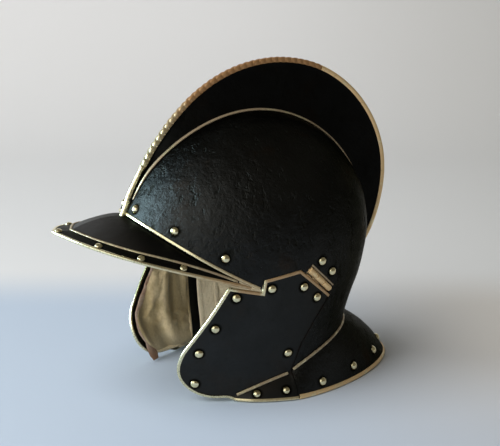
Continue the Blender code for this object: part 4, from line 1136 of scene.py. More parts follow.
# %% Carry a section along an edge
def carried(name, path, outs, sections, material=None, body=None, node=None, closed=False):
    """A bar along a path. A section's first number runs across the path within the plate, and
    the second along the plate's normal. There is one section, or one for each point. With a
    body it is finished as well."""
    count = len(path)
    rings = []
    for i in range(count):
        before = path[i - 1] if i or closed else path[0]
        after = path[(i + 1) % count] if i < count - 1 or closed else path[-1]
        back, ahead = path[i] - before, after - path[i]
        back = back.normalized() if back.length else ahead.normalized()
        ahead = ahead.normalized() if ahead.length else back
        tangent = (back + ahead).normalized()
        normal = (outs[i] - tangent * outs[i].dot(tangent)).normalized()
        across = normal.cross(tangent)
        stretch = 1 / max(0.55, tangent.dot(ahead))
        shape = sections[i] if isinstance(sections[0], list) else sections
        rings.append([path[i] + across * a * stretch + normal * b for a, b in shape])
    size, last = len(rings[0]), count if closed else count - 1
    obj = raised_sheet(name, last, size,
                       lambda u, v: rings[round(u * last) % count][round(v * size) % size],
                       sewn=True)
    smoothed(ends_closed(obj), 50)
    return finished(obj, material, "brass", body, node) if body else obj


def laid(places, depth=0.0):
    """Points at places on the form, or a depth inside it, and the form's normals there."""
    return [sunk_point(*spot, depth) for spot in places], [skull_normal(*spot) for spot in places]


print("sections can be carried along a path")

# %% [markdown]
# The neck guard's edging comes first. Brass bent over a former has a rounded fold, so a channel's
# two outer corners are arcs. The helmet stands on this edging, so it is worn flat below.

# %% Edging of the neck guard
def worn_flat(obj):
    """What stands on the floor is worn flat there."""
    for vertex in obj.data.vertices:
        vertex.co.z = max(vertex.co.z, 0.0)
    return obj


def channel(thickness, leg, flip=1, soft=1.25, metal=BRASS, clear=BIND_CLEAR, inner=None):
    """A channel that opens towards the plate, with its fold rounded and its inner leg shorter
    where that is given."""
    low, high = -thickness - clear, clear
    inner = inner or leg
    top, bottom, soft = high + metal, low - metal, soft * MM
    quarter = [math.radians(90 * k / 5) for k in range(6)]
    points = [(leg, high), (leg, top - 0.25 * MM), (leg - 0.3 * MM, top)]
    points += [(soft - soft * math.sin(a), top - soft + soft * math.cos(a)) for a in quarter]
    points += [(soft - soft * math.cos(a), bottom + soft - soft * math.sin(a)) for a in quarter]
    points += [(inner - 0.3 * MM, bottom), (inner, bottom + 0.25 * MM), (inner, low),
               (metal, low), (metal, high)]
    return [(a * flip, b) for a, b in points]


NECK_LEG, NECK_END = 4.2 * MM, 4.2
neck_places = [(angle, rim_edge_level(angle, 0))
               for angle in (NECK_END + (180 - 2 * NECK_END) * k / 150 for k in range(151))]
neck_edging = carried("neck_edging", *laid(neck_places), channel(SKULL_THICK, NECK_LEG))
finished(worn_flat(neck_edging), GOLD_BRASS, "brass", "helmet", "neck_binding")

# %% [markdown]
# The brow's brass is a folded angle: one leg lies on the bowl and a short lip turns down over
# its cut edge, which leaves room for the peak below. The peak's rim has a slim channel, whose
# legs grow shorter towards the temples, where the peak is narrow. Both have a reddish brown
# painted shade towards the rear.

# %% Edging of the brow and the peak
BROW_LEG, PEAK_LEG = 2.7 * MM, 2.4 * MM
brow_places = [(angle, brow_level(angle))
               for angle in (BROW_END_ANGLE - (180 + 2 * BROW_END_ANGLE) * k / 130
                             for k in range(131))]
top = BIND_CLEAR + BRASS
brow_section = [(0, top - 0.45 * MM), (0, -0.9 * MM), (BRASS, -0.9 * MM), (BRASS, BIND_CLEAR),
                (BROW_LEG, BIND_CLEAR), (BROW_LEG, top - 0.2 * MM), (BROW_LEG - 0.25 * MM, top),
                (0.5 * MM, top), (0.15 * MM, top - 0.15 * MM)]
brow_edging = carried("brow_edging", *laid(brow_places), [(-a, b) for a, b in brow_section],
                      EDGE_BRASS, "helmet", "brow_binding")
# painted shade: reddish brown towards the rear of the brow's brass
marked(brow_edging, "painted_shade_film", lambda point: 0.7 * eased(point.y, -0.08, -0.02))


def peak_edge(share):
    """Rim point, normal and brass line point of the left half."""
    band, edge = peak_station(share)[4:]
    later = peak_station(min(1, share + 0.02))[5]
    if share > 0.02:
        before = peak_station(share - 0.02)[5]
    else:
        before = flip_x(peak_station(0.02 - share)[5])
    normal = (later - before).cross(edge - band).normalized()
    return edge, normal if normal.z > 0 else -normal, band


def rim_line(end, count):
    """Rim point, normal and brass line point, from one temple round the tip to the other."""
    return both_halves([peak_edge(end * k / count) for k in range(count + 1)])


RIM_COUNT = 70
rim = rim_line(PEAK_BRASS_END, RIM_COUNT)
peak_sections = []
for k in range(-RIM_COUNT, RIM_COUNT + 1):
    brow, edge = (peak_station(PEAK_BRASS_END * abs(k) / RIM_COUNT)[i] for i in (2, 5))
    leg = max(1.5 * MM, min(PEAK_LEG, (edge - brow).length - 3.4 * MM))
    peak_sections.append(channel(PEAK_THICK, leg, soft=0.9, metal=0.45 * MM, clear=0.18 * MM))
peak_edging = carried("peak_edging", [row[0] for row in rim], [row[1] for row in rim],
                      peak_sections, EDGE_BRASS, "helmet", "peak_binding")
# painted shade: reddish brown towards the rear of the peak's brass
marked(peak_edging, "painted_shade_film", lambda point: 1.1 * eased(point.y, -0.13, -0.02))

# %% [markdown]
# A cheekpiece's edging turns sharp corners. A mitre needs a clear run on both sides, so the
# points of each straight run stop short of its ends, while arcs keep all of theirs.

# %% Edging of the cheekpieces
CHEEK_LEG, CHEEK_EASE = 2.7 * MM, 0.3 * MM


def mitre_path(outline, step, clear):
    """Points along an outline, with no point within clear of a straight run's ends."""
    result = []
    for a, b in zip(outline[:-1], outline[1:]):
        length = math.dist(a, b)
        result.append(a)
        if length > 2 * clear + step:
            pieces = math.ceil((length - 2 * clear) / step)
            ways = [(clear + (length - 2 * clear) * k / pieces) / length for k in range(pieces + 1)]
            result += [tuple(np.array(a) + (np.array(b) - np.array(a)) * way) for way in ways]
    return result + [outline[-1]]


cheek_places = [side_place(y, z) for y, z in mitre_path(framed_outline, 2.2, 3.4)]
cheek_channel = channel(CHEEK_THICK + CHEEK_EASE, CHEEK_LEG, flip=-1, soft=1.1, metal=0.45 * MM,
                        clear=0.25 * MM, inner=1.4 * MM)
cheek_edging = worn_flat(carried("cheek_edging_left", *laid(cheek_places), cheek_channel))
STEP_Y, STEP_WIDE = -30.2 * MM + AXIS_Y, 2.2 * MM      # the short step in front stays bright


# Painted shade on the cheekpiece's edging: reddish brown along its top run and a little at its rear
# foot, while the short step in front stays bright.
def cheek_painted_shade(point):
    top = eased(point.y, -0.036, -0.026) * eased(point.z, 0.07, 0.09)
    foot = eased(point.y, -0.05, 0.0) * eased(0.03 - point.z, 0.0, 0.02)
    return 1.25 * top * (1 - math.exp(-((point.y - STEP_Y) / STEP_WIDE)**2)) + 0.35 * foot


marked(cheek_edging, "painted_shade_film", cheek_painted_shade)
twin = finished_pair(cheek_edging, EDGE_BRASS, "brass", "cheek_binding")
# painted shade: dark brown on the front of the far cheekpiece's edging, high up and at its foot
marked(twin, "darkened_and_shaded", lambda point: eased(-point.y, 0.02, 0.03) * max(
    0.85 * eased(point.z, 0.050, 0.066), 0.8 * eased(-point.z, -0.014, -0.009)))

# %% [markdown]
# ## The comb's edging
# At the foot of the comb the edging is a plain bright strip. Above it, as far as past the top,
# it is worked into a rope, and down the back it is plain again. Its legs lie on the comb's
# walls, so its section spreads where they do.

# %% Path and sections of the comb's edging
COMB_LEG, PLAIN_LEG, PLAIN_FOOT, FOOT_PROUD = 4.4 * MM, 2.9 * MM, 38 * MM, 1.7 * MM
X_WAY = Vector((1, 0, 0))


def crest_half(y, z):
    """Half the thickness at a place seen from the side: the comb's wall or, lower, the bowl."""
    direction = math.degrees(math.atan2(z - WIDEST_Z, y - AXIS_Y))
    radius = math.hypot(y - AXIS_Y, z - WIDEST_Z)
    foot = ridge_point(0, direction)
    bowl_radius = math.hypot(foot.y - AXIS_Y, foot.z - WIDEST_Z)
    side = HALF_WIDTH(z) * math.sqrt(max(0.0, 1 - (radius / bowl_radius)**2))
    root = comb_root_half(direction)
    return max(COMB_EDGE_HALF, min(side, root - MM))


def comb_path(low, high, count, begun=0.0):
    """Path outside the comb's left edge, its channel section and the length travelled."""
    path, sections, runs = [], [], []
    for k in range(count + 1):
        share = low + (high - low) * k / count
        station = comb_station(share)
        here, later = comb_spot(min(1, share + 0.002)), comb_spot(max(0, share - 0.002))
        run = Vector((0, here[0] - later[0], here[1] - later[1])).normalized()
        edge = station[1] + station[2] * station[3] + X_WAY * COMB_EDGE_HALF
        out = X_WAY.cross(run)
        proud = FOOT_PROUD * (1 - eased(runs[-1] if runs else begun, 4 * MM, PLAIN_FOOT))
        path.append(edge + out * (BIND_CLEAR + BRASS + proud))
        runs.append(runs[-1] + (path[-1] - path[-2]).length if path[1:] else begun)
        section = []
        widened = min(1, max(0, (runs[-1] - PLAIN_FOOT) / (5 * MM) + 0.5))
        leg = PLAIN_LEG + (COMB_LEG - PLAIN_LEG) * widened
        soft = 2.4 - 0.6 * eased(runs[-1], PLAIN_FOOT - 8 * MM, PLAIN_FOOT)
        for a, b in channel(2 * COMB_EDGE_HALF, leg + proud, flip=-1, soft=soft):
            spot = path[-1] + out * a
            spread = crest_half(spot.y, spot.z) - COMB_EDGE_HALF
            section.append((a, b + math.copysign(spread, b + COMB_EDGE_HALF)))
        sections.append(section)
    return path, sections, runs


print("its legs are", round(PLAIN_LEG / MM, 1), "to", round(COMB_LEG / MM, 1), "mm long")

# %% [markdown]
# A rope is a row of ridges that run slantwise round the fold. They are added to the section as
# a wave that moves on with the length already travelled, so they wind round without a break.

# %% Roped and plain edging of the comb
ROPE_SHARE, ROPE_PITCH, ROPE_DEPTH, FOOT_END = 0.53, 6.4 * MM, 1.0 * MM, 5.5 * MM


def roped(shape, run):
    """A section with ridges round its outer side, which start beyond the plain foot."""
    strength = ROPE_DEPTH * min(1, max(0, (run - PLAIN_FOOT) / (4 * MM)))
    middle = -COMB_EDGE_HALF
    result = []
    for i, (a, b) in enumerate(shape):
        around = (b - middle) / (5.0 * MM) + math.copysign(a, b - middle) / (-11 * MM)
        wave = abs(math.sin(math.pi * (run / ROPE_PITCH + around)))**0.6 - 0.72
        if a == -BRASS or i >= len(shape) - 4:         # inside the channel
            way = (0, 0)
        elif i < 2 or i == len(shape) - 5:             # ends of its legs
            way = (-0.5, math.copysign(0.45, (b - middle) * wave))
        else:
            way = Vector((a + 3.0 * MM, b - middle)).normalized()
        result.append((a + way[0] * wave * strength, b + way[1] * wave * strength))
    return result


path, shapes, runs = comb_path(0, ROPE_SHARE, 680)
down = (path[0] - path[4]).normalized() * FOOT_END / 6      # straight on, over the brow's brass
path = [path[0] + down * k for k in range(6, 0, -1)] + path
shapes, runs = [shapes[0]] * 6 + shapes, [0.0] * 6 + runs
rope_edging = carried("comb_rope_edging", path, [X_WAY] * len(path),
                      [roped(shape, run) for shape, run in zip(shapes, runs)],
                      ROPE_BRASS, "helmet", "comb_binding_roped")
# painted shade: reddish brown towards the top and rear of the rope
marked(rope_edging, "painted_shade_film", lambda point: 1.3 * eased(point.y, -0.09, -0.02))
path, shapes, runs = comb_path(ROPE_SHARE + 0.0016, 0.99, 130, begun=1.0)   # well past the foot
carried("comb_plain_edging", path, [X_WAY] * len(path), shapes, GOLD_BRASS, "helmet",
        "comb_binding_plain")

# %% [markdown]
# ## Brass wires
# Wires lie in the corners: round the root of the comb, in the bend of the neck guard
# and of the cheekpieces, and along the band of the peak. Their section is a flattened round,
# just touching the steel.

# %% Lay the wires
WIRE = 1.25 * MM


def wire_section(half_width, height, sides=16):
    turns = [2 * math.pi * k / sides for k in range(sides)]
    return [(half_width * MM * math.cos(turn),
             (height - 0.1) / 2 * MM + height / 2 * MM * math.sin(turn)) for turn in turns]


first, last = FIRST_WAY - 5.0, LAST_WAY
spots = []
for k in range(121):
    direction = first + (last + 3 - first) * k / 120
    close = 0.9 * MM * max(0.0, 1 - k / 14)       # nearer to the comb at its foot
    spots.append((comb_root_half(direction) + WIRE + 0.5 * MM - close, direction))
bend = [(6.0, 2.0), (5.0, 0.9), (3.6, -0.3), (1.9, -1.1), (0, -1.4)]
turn = [(x * MM * spots[-1][0] / (6.6 * MM), last + way) for x, way in bend]
left = spots + turn[:-1]
spots = left + turn[-1:] + [(-x, way) for x, way in reversed(left)]
foot_steps = [min(k, len(spots) - 1 - k) for k in range(len(spots))]
carried("comb_wire", [ridge_point(*spot) for spot in spots],
        [ridge_normal(*spot) for spot in spots],
        [wire_section(0.75 + 1.1 * min(1, k / 11), 1.3 + 0.9 * min(1, k / 9)) for k in foot_steps],
        WIRE_BRASS, "helmet", "comb_line")

band_line = rim_line(PEAK_LINE_END, 60)
carried("peak_wire", [row[2] for row in band_line], [row[1] for row in band_line],
        wire_section(1.15, 1.6), WIRE_BRASS, "helmet", "peak_line")


def bend_wire(name, low, high, count):
    """A wire in the bend, between two angles."""
    angles = [low + (high - low) * k / count for k in range(count + 1)]
    outs = [(skull_normal(a, 0.06) + skull_normal(a, -0.06)).normalized() for a in angles]
    path = [skull_point(a, 0) + out * 0.35 * MM for a, out in zip(angles, outs)]
    return carried(name, path, outs, wire_section(1.35, 1.8))


finished(bend_wire("neck_wire", 3.0, 177.0, 140), WIRE_BRASS, "brass", "helmet", "neck_line")
finished_pair(bend_wire("cheek_wire_left", BEND_END_ANGLE + 3, -0.4, 40), WIRE_BRASS, "brass",
              "cheek_line")

# %% [markdown]
# ## Rivets
# Every rivet head is a low brass dome, hammered by hand and a little flattened. One is modelled
# from a sphere, cut in half and pressed down, and the others are copies with their own meshes.

# %% Model one rivet head
RIVET_R, RIVET_H, SMALL_RIVET = 3.85 * MM, 2.8 * MM, 0.87


def half_cut():
    bpy.ops.mesh.bisect(plane_co=(0, 0, 0), plane_no=(0, 0, 1), clear_inner=True, use_fill=True)


def pressed_down():
    bpy.ops.transform.resize(value=(1, 1, RIVET_H / RIVET_R), center_override=(0, 0, 0))


def dome(name):
    """A rivet head on the origin, marked darker towards its foot and not at its top."""
    nothing_selected()
    bpy.ops.mesh.primitive_uv_sphere_add(segments=28, ring_count=18, radius=RIVET_R)
    head = in_edit(bpy.context.object, half_cut, pressed_down)
    head.name = name
    return marked(head, "darkened_and_shaded", lambda point: 0.9 * max(0.0, 1 - point.z / (0.5 * RIVET_H)))


rivet_head = measured(smoothed(dome("rivet_head"), 60))

# %% [markdown]
# A rivet stands along its plate's normal. Heads beaten by hand are never quite alike, so each
# copy is turned and sized a little differently, by its number.

# %% Copy a head onto a plate
def place_frame(point, normal):
    """Matrix of a piece that stands on a plate with its own Z along the normal."""
    return Matrix.Translation(point) @ normal.to_track_quat("Z", "Y").to_matrix().to_4x4()


rivet_places = {"helmet": [], "cheek_left": [], "cheek_right": []}


def set_rivet(node, point, normal, scale, body):
    """A copy of the head on a plate, in place of the node of its name."""
    only(rivet_head)
    bpy.ops.object.duplicate(linked=False)
    head = dressed(bpy.context.object, RIVET_BRASS)
    head.name = head.data.name = node.replace("rivet", "head")
    number = len(rivet_places["helmet"]) + 7 * len(rivet_places[body])
    uneven, tall = 1 + 0.03 * math.sin(number * 5.1), 1 + 0.05 * math.cos(number)
    head.data.transform(
        place_frame(point - normal * 0.15 * MM, normal) @ Matrix.Rotation(number * 2.4, 4, "Z")
        @ Matrix.Diagonal((scale * uneven, scale / uneven, scale * tall, 1)))
    rivet_places[body].append((point, scale))
    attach(head, body)
    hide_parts(node)


print("ready to set rivets")

# %% [markdown]
# The rivets sit where the plates and linings are held: three along each side of the brow, four
# on each half of the neck guard, eight on each cheekpiece and seven along the peak's band. Two
# at a cheekpiece's foot and those of the peak are smaller.

# %% Set the rivets
BROW_RIVETS = ((-115.5, 167.1), (-96.4, 155), (-61.5, 133.7))     # (Y, Z) seen from the side
CHEEK_RIVETS = (
    (-53.2, 99), (-69.8, 71.9), (-81.7, 48.9), (-81.4, 17.8), (-2.7, 41.9), (-22.4, 104.7),
    (-31, 7.4), (-6, 9.2),
)
CHEEK_SMALL_FROM = 7                                               # the foot's two are small
NECK_RIVETS, NECK_RIVET_LEVEL = (18, 37.5, 58, 79), -0.78         # degrees behind the side
PEAK_RIVETS = (0, 0.26, 0.464, 0.65)                               # shares from tip to temple

for side, word in zip((1, -1), SIDES):
    neck_angles = [angle if side > 0 else 180 - angle for angle in NECK_RIVETS]
    rows = (("brow", [side_place(*spot, side) for spot in BROW_RIVETS], "helmet"),
            ("neck", [(angle, NECK_RIVET_LEVEL) for angle in neck_angles], "helmet"),
            ("cheek", [side_place(*spot, side) for spot in CHEEK_RIVETS], f"cheek_{word}"))
    for row, places, body in rows:
        for i, place in enumerate(places, 1):
            scale = SMALL_RIVET if row == "cheek" and i >= CHEEK_SMALL_FROM else 1
            set_rivet(f"{row}_rivet_{word}_{i}", skull_point(*place), skull_normal(*place),
                      scale, body)
for i, share in enumerate(PEAK_RIVETS):
    edge, normal, band = peak_edge(share)
    point = edge + (band - edge).normalized() * (PEAK_LEG + 0.4 * MM + RIVET_R * SMALL_RIVET)
    set_rivet(f"peak_rivet_left_{i}" if i else "peak_rivet_centre", point, normal, SMALL_RIVET,
              "helmet")
    if i:
        set_rivet(f"peak_rivet_right_{i}", flip_x(point), flip_x(normal), SMALL_RIVET, "helmet")
bpy.data.objects.remove(rivet_head, do_unlink=True)
print("rivets set:", {body: len(spots) for body, spots in rivet_places.items()})

# %% [markdown]
# ## Hinges
# A hinge has two leaves that lie inside the plates, held by two rivets each, and a barrel of
# three knuckles that shows in the notch between skull and cheekpiece. The knuckles are
# cylinders with softened rims, and the leaf is a thin slab with rounded edges.

# %% Frame and parts of the left hinge
HINGE_SUNK, LEAF_DROP, LEAF_TILT = 0.9 * MM, 3.5 * MM, 0.10


def hinge_frame():
    """Frame of the left hinge: X along the barrel, downwards to the rear; Y up; Z out."""
    ends = [skull_point(*side_place(y, z)) for y, z in HINGE_ENDS]
    angle, level = side_place(*hinge_middle)
    run = (ends[1] - ends[0]).normalized()
    out = skull_normal(angle, level)
    out = (out - run * out.dot(run)).normalized()
    matrix = Matrix((run, out.cross(run), out)).transposed().to_4x4()
    matrix.translation = skull_point(angle, level) - out * HINGE_SUNK
    return matrix


def turned_bar(radius, low, high, matrix, sides=40, soft=0.35 * MM):
    """A cylinder with softened rims between two heights of a frame's Z."""
    nothing_selected()
    bpy.ops.mesh.primitive_cylinder_add(vertices=sides, radius=radius, depth=high - low,
                                        location=(0, 0, (low + high) / 2))
    obj = bpy.context.object
    bpy.ops.object.transform_apply(location=True, rotation=False, scale=False)
    applied(obj, "BEVEL", width=min(soft, radius * 0.4), segments=3, limit_method="ANGLE",
            angle_limit=math.radians(50))
    obj.data.transform(matrix)
    return obj


def slab(x_low, x_high, y_low, y_high, depth, matrix, sign):
    """A thin plate of the leaf, with its edges rounded."""
    nothing_selected()
    middle = ((x_low + x_high) / 2, (y_low + y_high) / 2, -depth / 2)
    bpy.ops.mesh.primitive_cube_add(size=1, location=middle)
    obj = bpy.context.object
    bpy.ops.transform.resize(value=(x_high - x_low, y_high - y_low, depth))
    bpy.ops.object.transform_apply(location=True, rotation=False, scale=True)
    applied(obj, "BEVEL", width=0.25 * MM, segments=2)
    for vertex in obj.data.vertices:
        x, y, z = vertex.co
        vertex.co = matrix @ Vector((x, sign * y, HINGE_SUNK - LEAF_DROP - LEAF_TILT * y + z))
    if sign < 0:
        obj.data.flip_normals()
    return obj


def joined(name, parts):
    nothing_selected()
    for part in parts:
        part.select_set(True)
    bpy.context.view_layer.objects.active = parts[0]
    bpy.ops.object.join()
    parts[0].name = parts[0].data.name = name
    return smoothed(parts[0], 40)


HINGE = hinge_frame()
BARREL = HINGE @ Matrix.Rotation(math.radians(90), 4, "Y")
print("middle of the left hinge", [round(value / MM, 1) for value in HINGE.translation], "mm")

# %% [markdown]
# The skull's leaf carries the two outer knuckles and the pin, and the cheekpiece's leaf carries
# the one between them, so the pair can turn as a real hinge does.

# %% Model the left hinge and mirror it
HINGE_R, PIN_R, KNUCKLE_GAP, SHANK_R = 2.75 * MM, 1.1 * MM, 0.5 * MM, 1.3 * MM
LEAF_THICK, LEAF_LONG, LEAF_WIDE = 0.8 * MM, 17 * MM, 26 * MM
UPPER_RIVETS, LOWER_RIVETS = ((25.4, 123.9), (37.8, 112.3)), ((7.9, 102.9), (22.4, 91.1))


def hinge_leaf(name, upper):
    """The skull's leaf with two knuckles and the pin, or the cheekpiece's with one."""
    third, end, gap = HINGE_LENGTH / 6, HINGE_LENGTH / 2, KNUCKLE_GAP / 2
    spans = [(-end, -third - gap), (third + gap, end)] if upper else [(gap - third, third - gap)]
    start, half, sign = HINGE_R + KNUCKLE_GAP, LEAF_WIDE / 2, 1 if upper else -1
    parts, heads = [slab(-half, half, start, LEAF_LONG, LEAF_THICK, HINGE, sign)], []
    for low, high in spans:
        inside = max(low, -half) + 0.2 * MM, min(high, half) - 0.2 * MM
        parts.append(slab(*inside, -0.6 * MM, start + MM, LEAF_THICK, HINGE, sign))
        parts.append(turned_bar(HINGE_R, low, high, BARREL))
    if upper:
        parts.append(turned_bar(PIN_R, -end - 0.5 * MM, end + 0.5 * MM, BARREL, 24))
    for spot in UPPER_RIVETS if upper else LOWER_RIVETS:
        place = side_place(*spot)
        point = skull_point(*place)
        stand = place_frame(point, skull_normal(*place))
        parts.append(turned_bar(SHANK_R, -5.2 * MM, 0.5 * MM, stand, 20))
        heads.append(dressed(dome("hinge_head"), RIVET_BRASS))
        heads[-1].data.transform(stand)
        for where, side in zip((point, flip_x(point)), SIDES):
            rivet_places["helmet" if upper else f"cheek_{side}"].append((where, 1))
    return joined(name, [dressed(part, GOLD_BRASS) for part in parts] + heads)


for upper, word in ((True, "skull"), (False, "cheek")):
    finished_pair(hinge_leaf(f"{word}_leaf_left", upper), None, "brass", f"hinge_{word}_leaf",
                  "helmet" if upper else "cheek")

# %% [markdown]
# A thin lip of brass lines the upper side of each notch, so the barrel doesn't wear the steel.

# %% Lip above the barrel
LIP_REACH, LIP_UP = HINGE_LENGTH / 2 / MM + 0.6, 4.5
lip_places = [side_place(*(hinge_middle + hinge_run * (LIP_REACH * (k / 10 - 1))
                           + hinge_up * LIP_UP)) for k in range(21)]
lip_section = [(a * MM, b * MM) for a, b in ((-0.75, -0.6), (0.75, -0.6), (0.75, 0.35),
                                             (0.5, 0.6), (-0.5, 0.6), (-0.75, 0.35))]
finished_pair(carried("hinge_lip_left", *laid(lip_places), lip_section), WIRE_BRASS, "brass",
              body="helmet")

# %% [markdown]
# ## Cloth that was sewn in
# The lining is cut a little larger than the space it fills and stitched down round its border,
# so it lies in soft folds. A short cloth simulation finds them: the border is pinned, the
# cloth grows a few hundredths, and whatever it moves is capped and kept off the steel.

# %% Let the cloth find its folds
CLOTH_FRAMES = 24
CLOTH_SETTINGS = {"vertex_group_mass": "sewn", "quality": 6, "mass": 0.15,
                  "tension_stiffness": 12, "compression_stiffness": 12, "shear_stiffness": 6,
                  "bending_stiffness": 0.4}


def settled(obj, pinned, growth, cap):
    """Simulates a sewn-in sheet and applies the result. pinned(vertex) is True where it is
    stitched. Points move by at most cap, and never out through the side that faces the steel."""
    start = [vertex.co.copy() for vertex in obj.data.vertices]
    normals = [vertex.normal.copy() for vertex in obj.data.vertices]
    group = obj.vertex_groups.new(name="sewn")
    group.add([vertex.index for vertex in obj.data.vertices if pinned(vertex)], 1.0, "REPLACE")
    cloth = obj.modifiers.new("cloth", "CLOTH")
    for word, value in CLOTH_SETTINGS.items():
        setattr(cloth.settings, word, value)
    cloth.settings.shrink_min = cloth.settings.shrink_max = -growth
    cloth.settings.effector_weights.gravity = 0
    cloth.collision_settings.use_collision = False
    cloth.point_cache.frame_start, cloth.point_cache.frame_end = 1, CLOTH_FRAMES
    for moment in range(1, CLOTH_FRAMES + 1):
        bpy.context.scene.frame_set(moment)
    shape = obj.evaluated_get(bpy.context.evaluated_depsgraph_get()).to_mesh()
    after = [vertex.co.copy() for vertex in shape.vertices]
    obj.modifiers.clear()
    obj.vertex_groups.clear()
    furthest = 0.0
    for vertex, was, normal, now in zip(obj.data.vertices, start, normals, after):
        move = now - was
        move -= normal * max(0.0, move.dot(normal))      # not out into the steel
        if move.length > 0:
            move = move.normalized() * cap * math.tanh(move.length / cap)
        vertex.co = was + move
        furthest = max(furthest, move.length)
    bpy.context.scene.frame_set(1)
    print(f"{obj.name}: folds up to {furthest / MM:.1f} mm deep")
    return obj


print("cloth settles in", CLOTH_FRAMES, "frames")

# %% [markdown]
# The cheekpiece's linen is laid out from the four lines that bound it, seen from the side, and
# every point between is blended from them.

# %% Lay out the cheekpiece's linen
def along(points, count):
    """Evenly spread points along a polyline."""
    steps = run_lengths(points)
    spread = np.linspace(0, steps[-1], count + 1)
    return list(zip(np.interp(spread, steps, [p[0] for p in points]),
                    np.interp(spread, steps, [p[1] for p in points])))


LINING_CORNERS = tuple((y, z, radius if radius > 10 else 0) for y, z, radius in CHEEK_CORNERS)


def inside_line(step_in, start, end):
    """The run of the cheekpiece's outline, moved inwards, between the points nearest two spots."""
    outline = rounded(LINING_CORNERS)
    line = inset(outline, [step_in] * len(outline))
    first, last = (min(range(len(line)), key=lambda i: math.dist(line[i], spot))
                   for spot in (start, end))
    return line[first:last + 1]


CLOTH_U, CLOTH_V = 46, 64
FRONT_TOP, REAR_TOP, REAR_FOOT = (-57.5, 99), (-31, 96), (-31, 7.5)
front_edge = along(inside_line(6.6, (-83, 18), (-60, 96)) + [FRONT_TOP], CLOTH_V)
foot_edge = along([front_edge[0], (-79, 12), (-72, 7.2), (-60, 6.6), (-50, 6.8), REAR_FOOT],
                  CLOTH_U)
top_edge = along([FRONT_TOP, REAR_TOP], CLOTH_U)
rear_edge = along([REAR_FOOT, REAR_TOP], CLOTH_V)


def cloth_spot(i, j):
    """Side view place at column i from the front and row j from the foot: edges blended."""
    u, v = i / CLOTH_U, j / CLOTH_V
    a, b = np.array(front_edge[j]), np.array(rear_edge[j])
    c, d = np.array(foot_edge[i]), np.array(top_edge[i])
    corners = ((1 - u) * (1 - v) * np.array(foot_edge[0]) + u * (1 - v) * np.array(foot_edge[-1])
               + (1 - u) * v * np.array(top_edge[0]) + u * v * np.array(top_edge[-1]))
    return (1 - u) * a + u * b + (1 - v) * c + v * d - corners


print("linen laid out in", CLOTH_U, "by", CLOTH_V, "patches")

# %% [markdown]
# The linen starts with a hint of slanting folds, which the simulation deepens. How close a point
# lies to the plate is painted on as shade, darker in the valleys between the folds.

# %% Line the cheekpieces
CLOTH_DEPTH = 3.5 * MM
cloth_places = [[side_place(*cloth_spot(i, j)) for j in range(CLOTH_V + 1)]
                for i in range(CLOTH_U + 1)]
flat_cloth = [laid(column, CLOTH_DEPTH)[0] for column in cloth_places]


def cheek_cloth_place(u, v):
    """The sheet starts nearly flat, with a hint of slanting folds for the simulation to find."""
    i, j = round(u * CLOTH_U), round(v * CLOTH_V)
    s, t = i / CLOTH_U, j / CLOTH_V
    middle = math.sin(math.pi * s)**0.5 * math.sin(math.pi * t)**0.5
    fold = (math.sin(11 * (s * 0.8 + t * 0.62) + 1.5 * math.sin(4 * t))
            + 0.45 * math.sin(23 * (s * 0.9 + t * 0.4)) + 1.3)
    return sunk_point(*cloth_places[i][j], CLOTH_DEPTH + middle * fold * 2.5 * MM)


def tree_of(points):
    """A search tree of some points."""
    tree = kdtree.KDTree(len(points))
    for i, point in enumerate(points):
        tree.insert(point, i)
    tree.balance()
    return tree


cheek_cloth = raised_sheet("cheek_cloth_left", CLOTH_U, CLOTH_V, cheek_cloth_place)
border = tree_of(flat_cloth[0] + flat_cloth[-1]
                 + [column[end] for column in flat_cloth for end in (0, -1)])
settled(cheek_cloth, lambda vertex: border.find(vertex.co)[2] < 1e-6, 0.045, 5.5 * MM)
flat_tree = tree_of([point for column in flat_cloth for point in column])
# painted shade in the valleys between the folds
marked(cheek_cloth, "fold_shade",
       lambda point: 1 - eased(flat_tree.find(point)[2], 0.8 * MM, 4.5 * MM))
thickened(cheek_cloth, 0.9 * MM, even=False)
applied(cheek_cloth, "SUBSURF", levels=1, render_levels=1)
smoothed(cheek_cloth, 60)
finished_pair(cheek_cloth, CHEEK_LINEN, "lining_cloth", "cheek_lining")

# %% [markdown]
# A leather strip finishes the front edge of the cheek's lining. It is folded over the cloth, and
# on the right its lower end has come loose and hangs below it. The other edges have a turned hem.

# %% Leather strip and hem of the cheekpieces
def soft_strip(width, thick):
    """Section of a folded strip, its middle line on the path."""
    w, t = width / 2, thick / 2
    return [(w * math.cos(a) * (1 - 0.12 * math.sin(a)**2), t * math.sin(a))
            for a in [2 * math.pi * k / 14 for k in range(14)]]


LOOSE_END = ((-77.2, 0.9, 2.2), (-77.8, 3.4, 1.9), (-78.9, 6.5, 1.5), (-80.4, 10, 1.1),
             (-82, 14, 0.8))          # (Y, Z) and how far it hangs off the plate


def leather_strip(name, loose_end):
    """The strip of the left cheek, from its loose end, if any, up to the hinge side."""
    edge = list(loose_end) + [(y, z, 0.5) for y, z in front_edge[1:]]
    places = [side_place(y, z) for y, z, lift in edge]
    path = [sunk_point(*spot, CLOTH_DEPTH + row[2] * MM) for spot, row in zip(places, edge)]
    sections = []
    for k in range(len(edge)):
        grow = 1 + 0.10 * math.sin(k * 0.61) + 0.05 * math.sin(k * 1.7)
        if k < len(loose_end):
            grow += 0.9 * math.sin(0.5 + 0.55 * k)
        sections.append([(a * grow, b) for a, b in soft_strip(5.6 * MM, 1.6 * MM)])
    return carried(name, path, [-skull_normal(*spot) for spot in places], sections)


strip = leather_strip("cheek_strip_left", ())
loose = leather_strip("loose_strip", LOOSE_END)
finished_pair(strip, LEATHER, "lining_cloth", twin=mirrored(loose, "cheek_strip_right"))
bpy.data.objects.remove(loose, do_unlink=True)

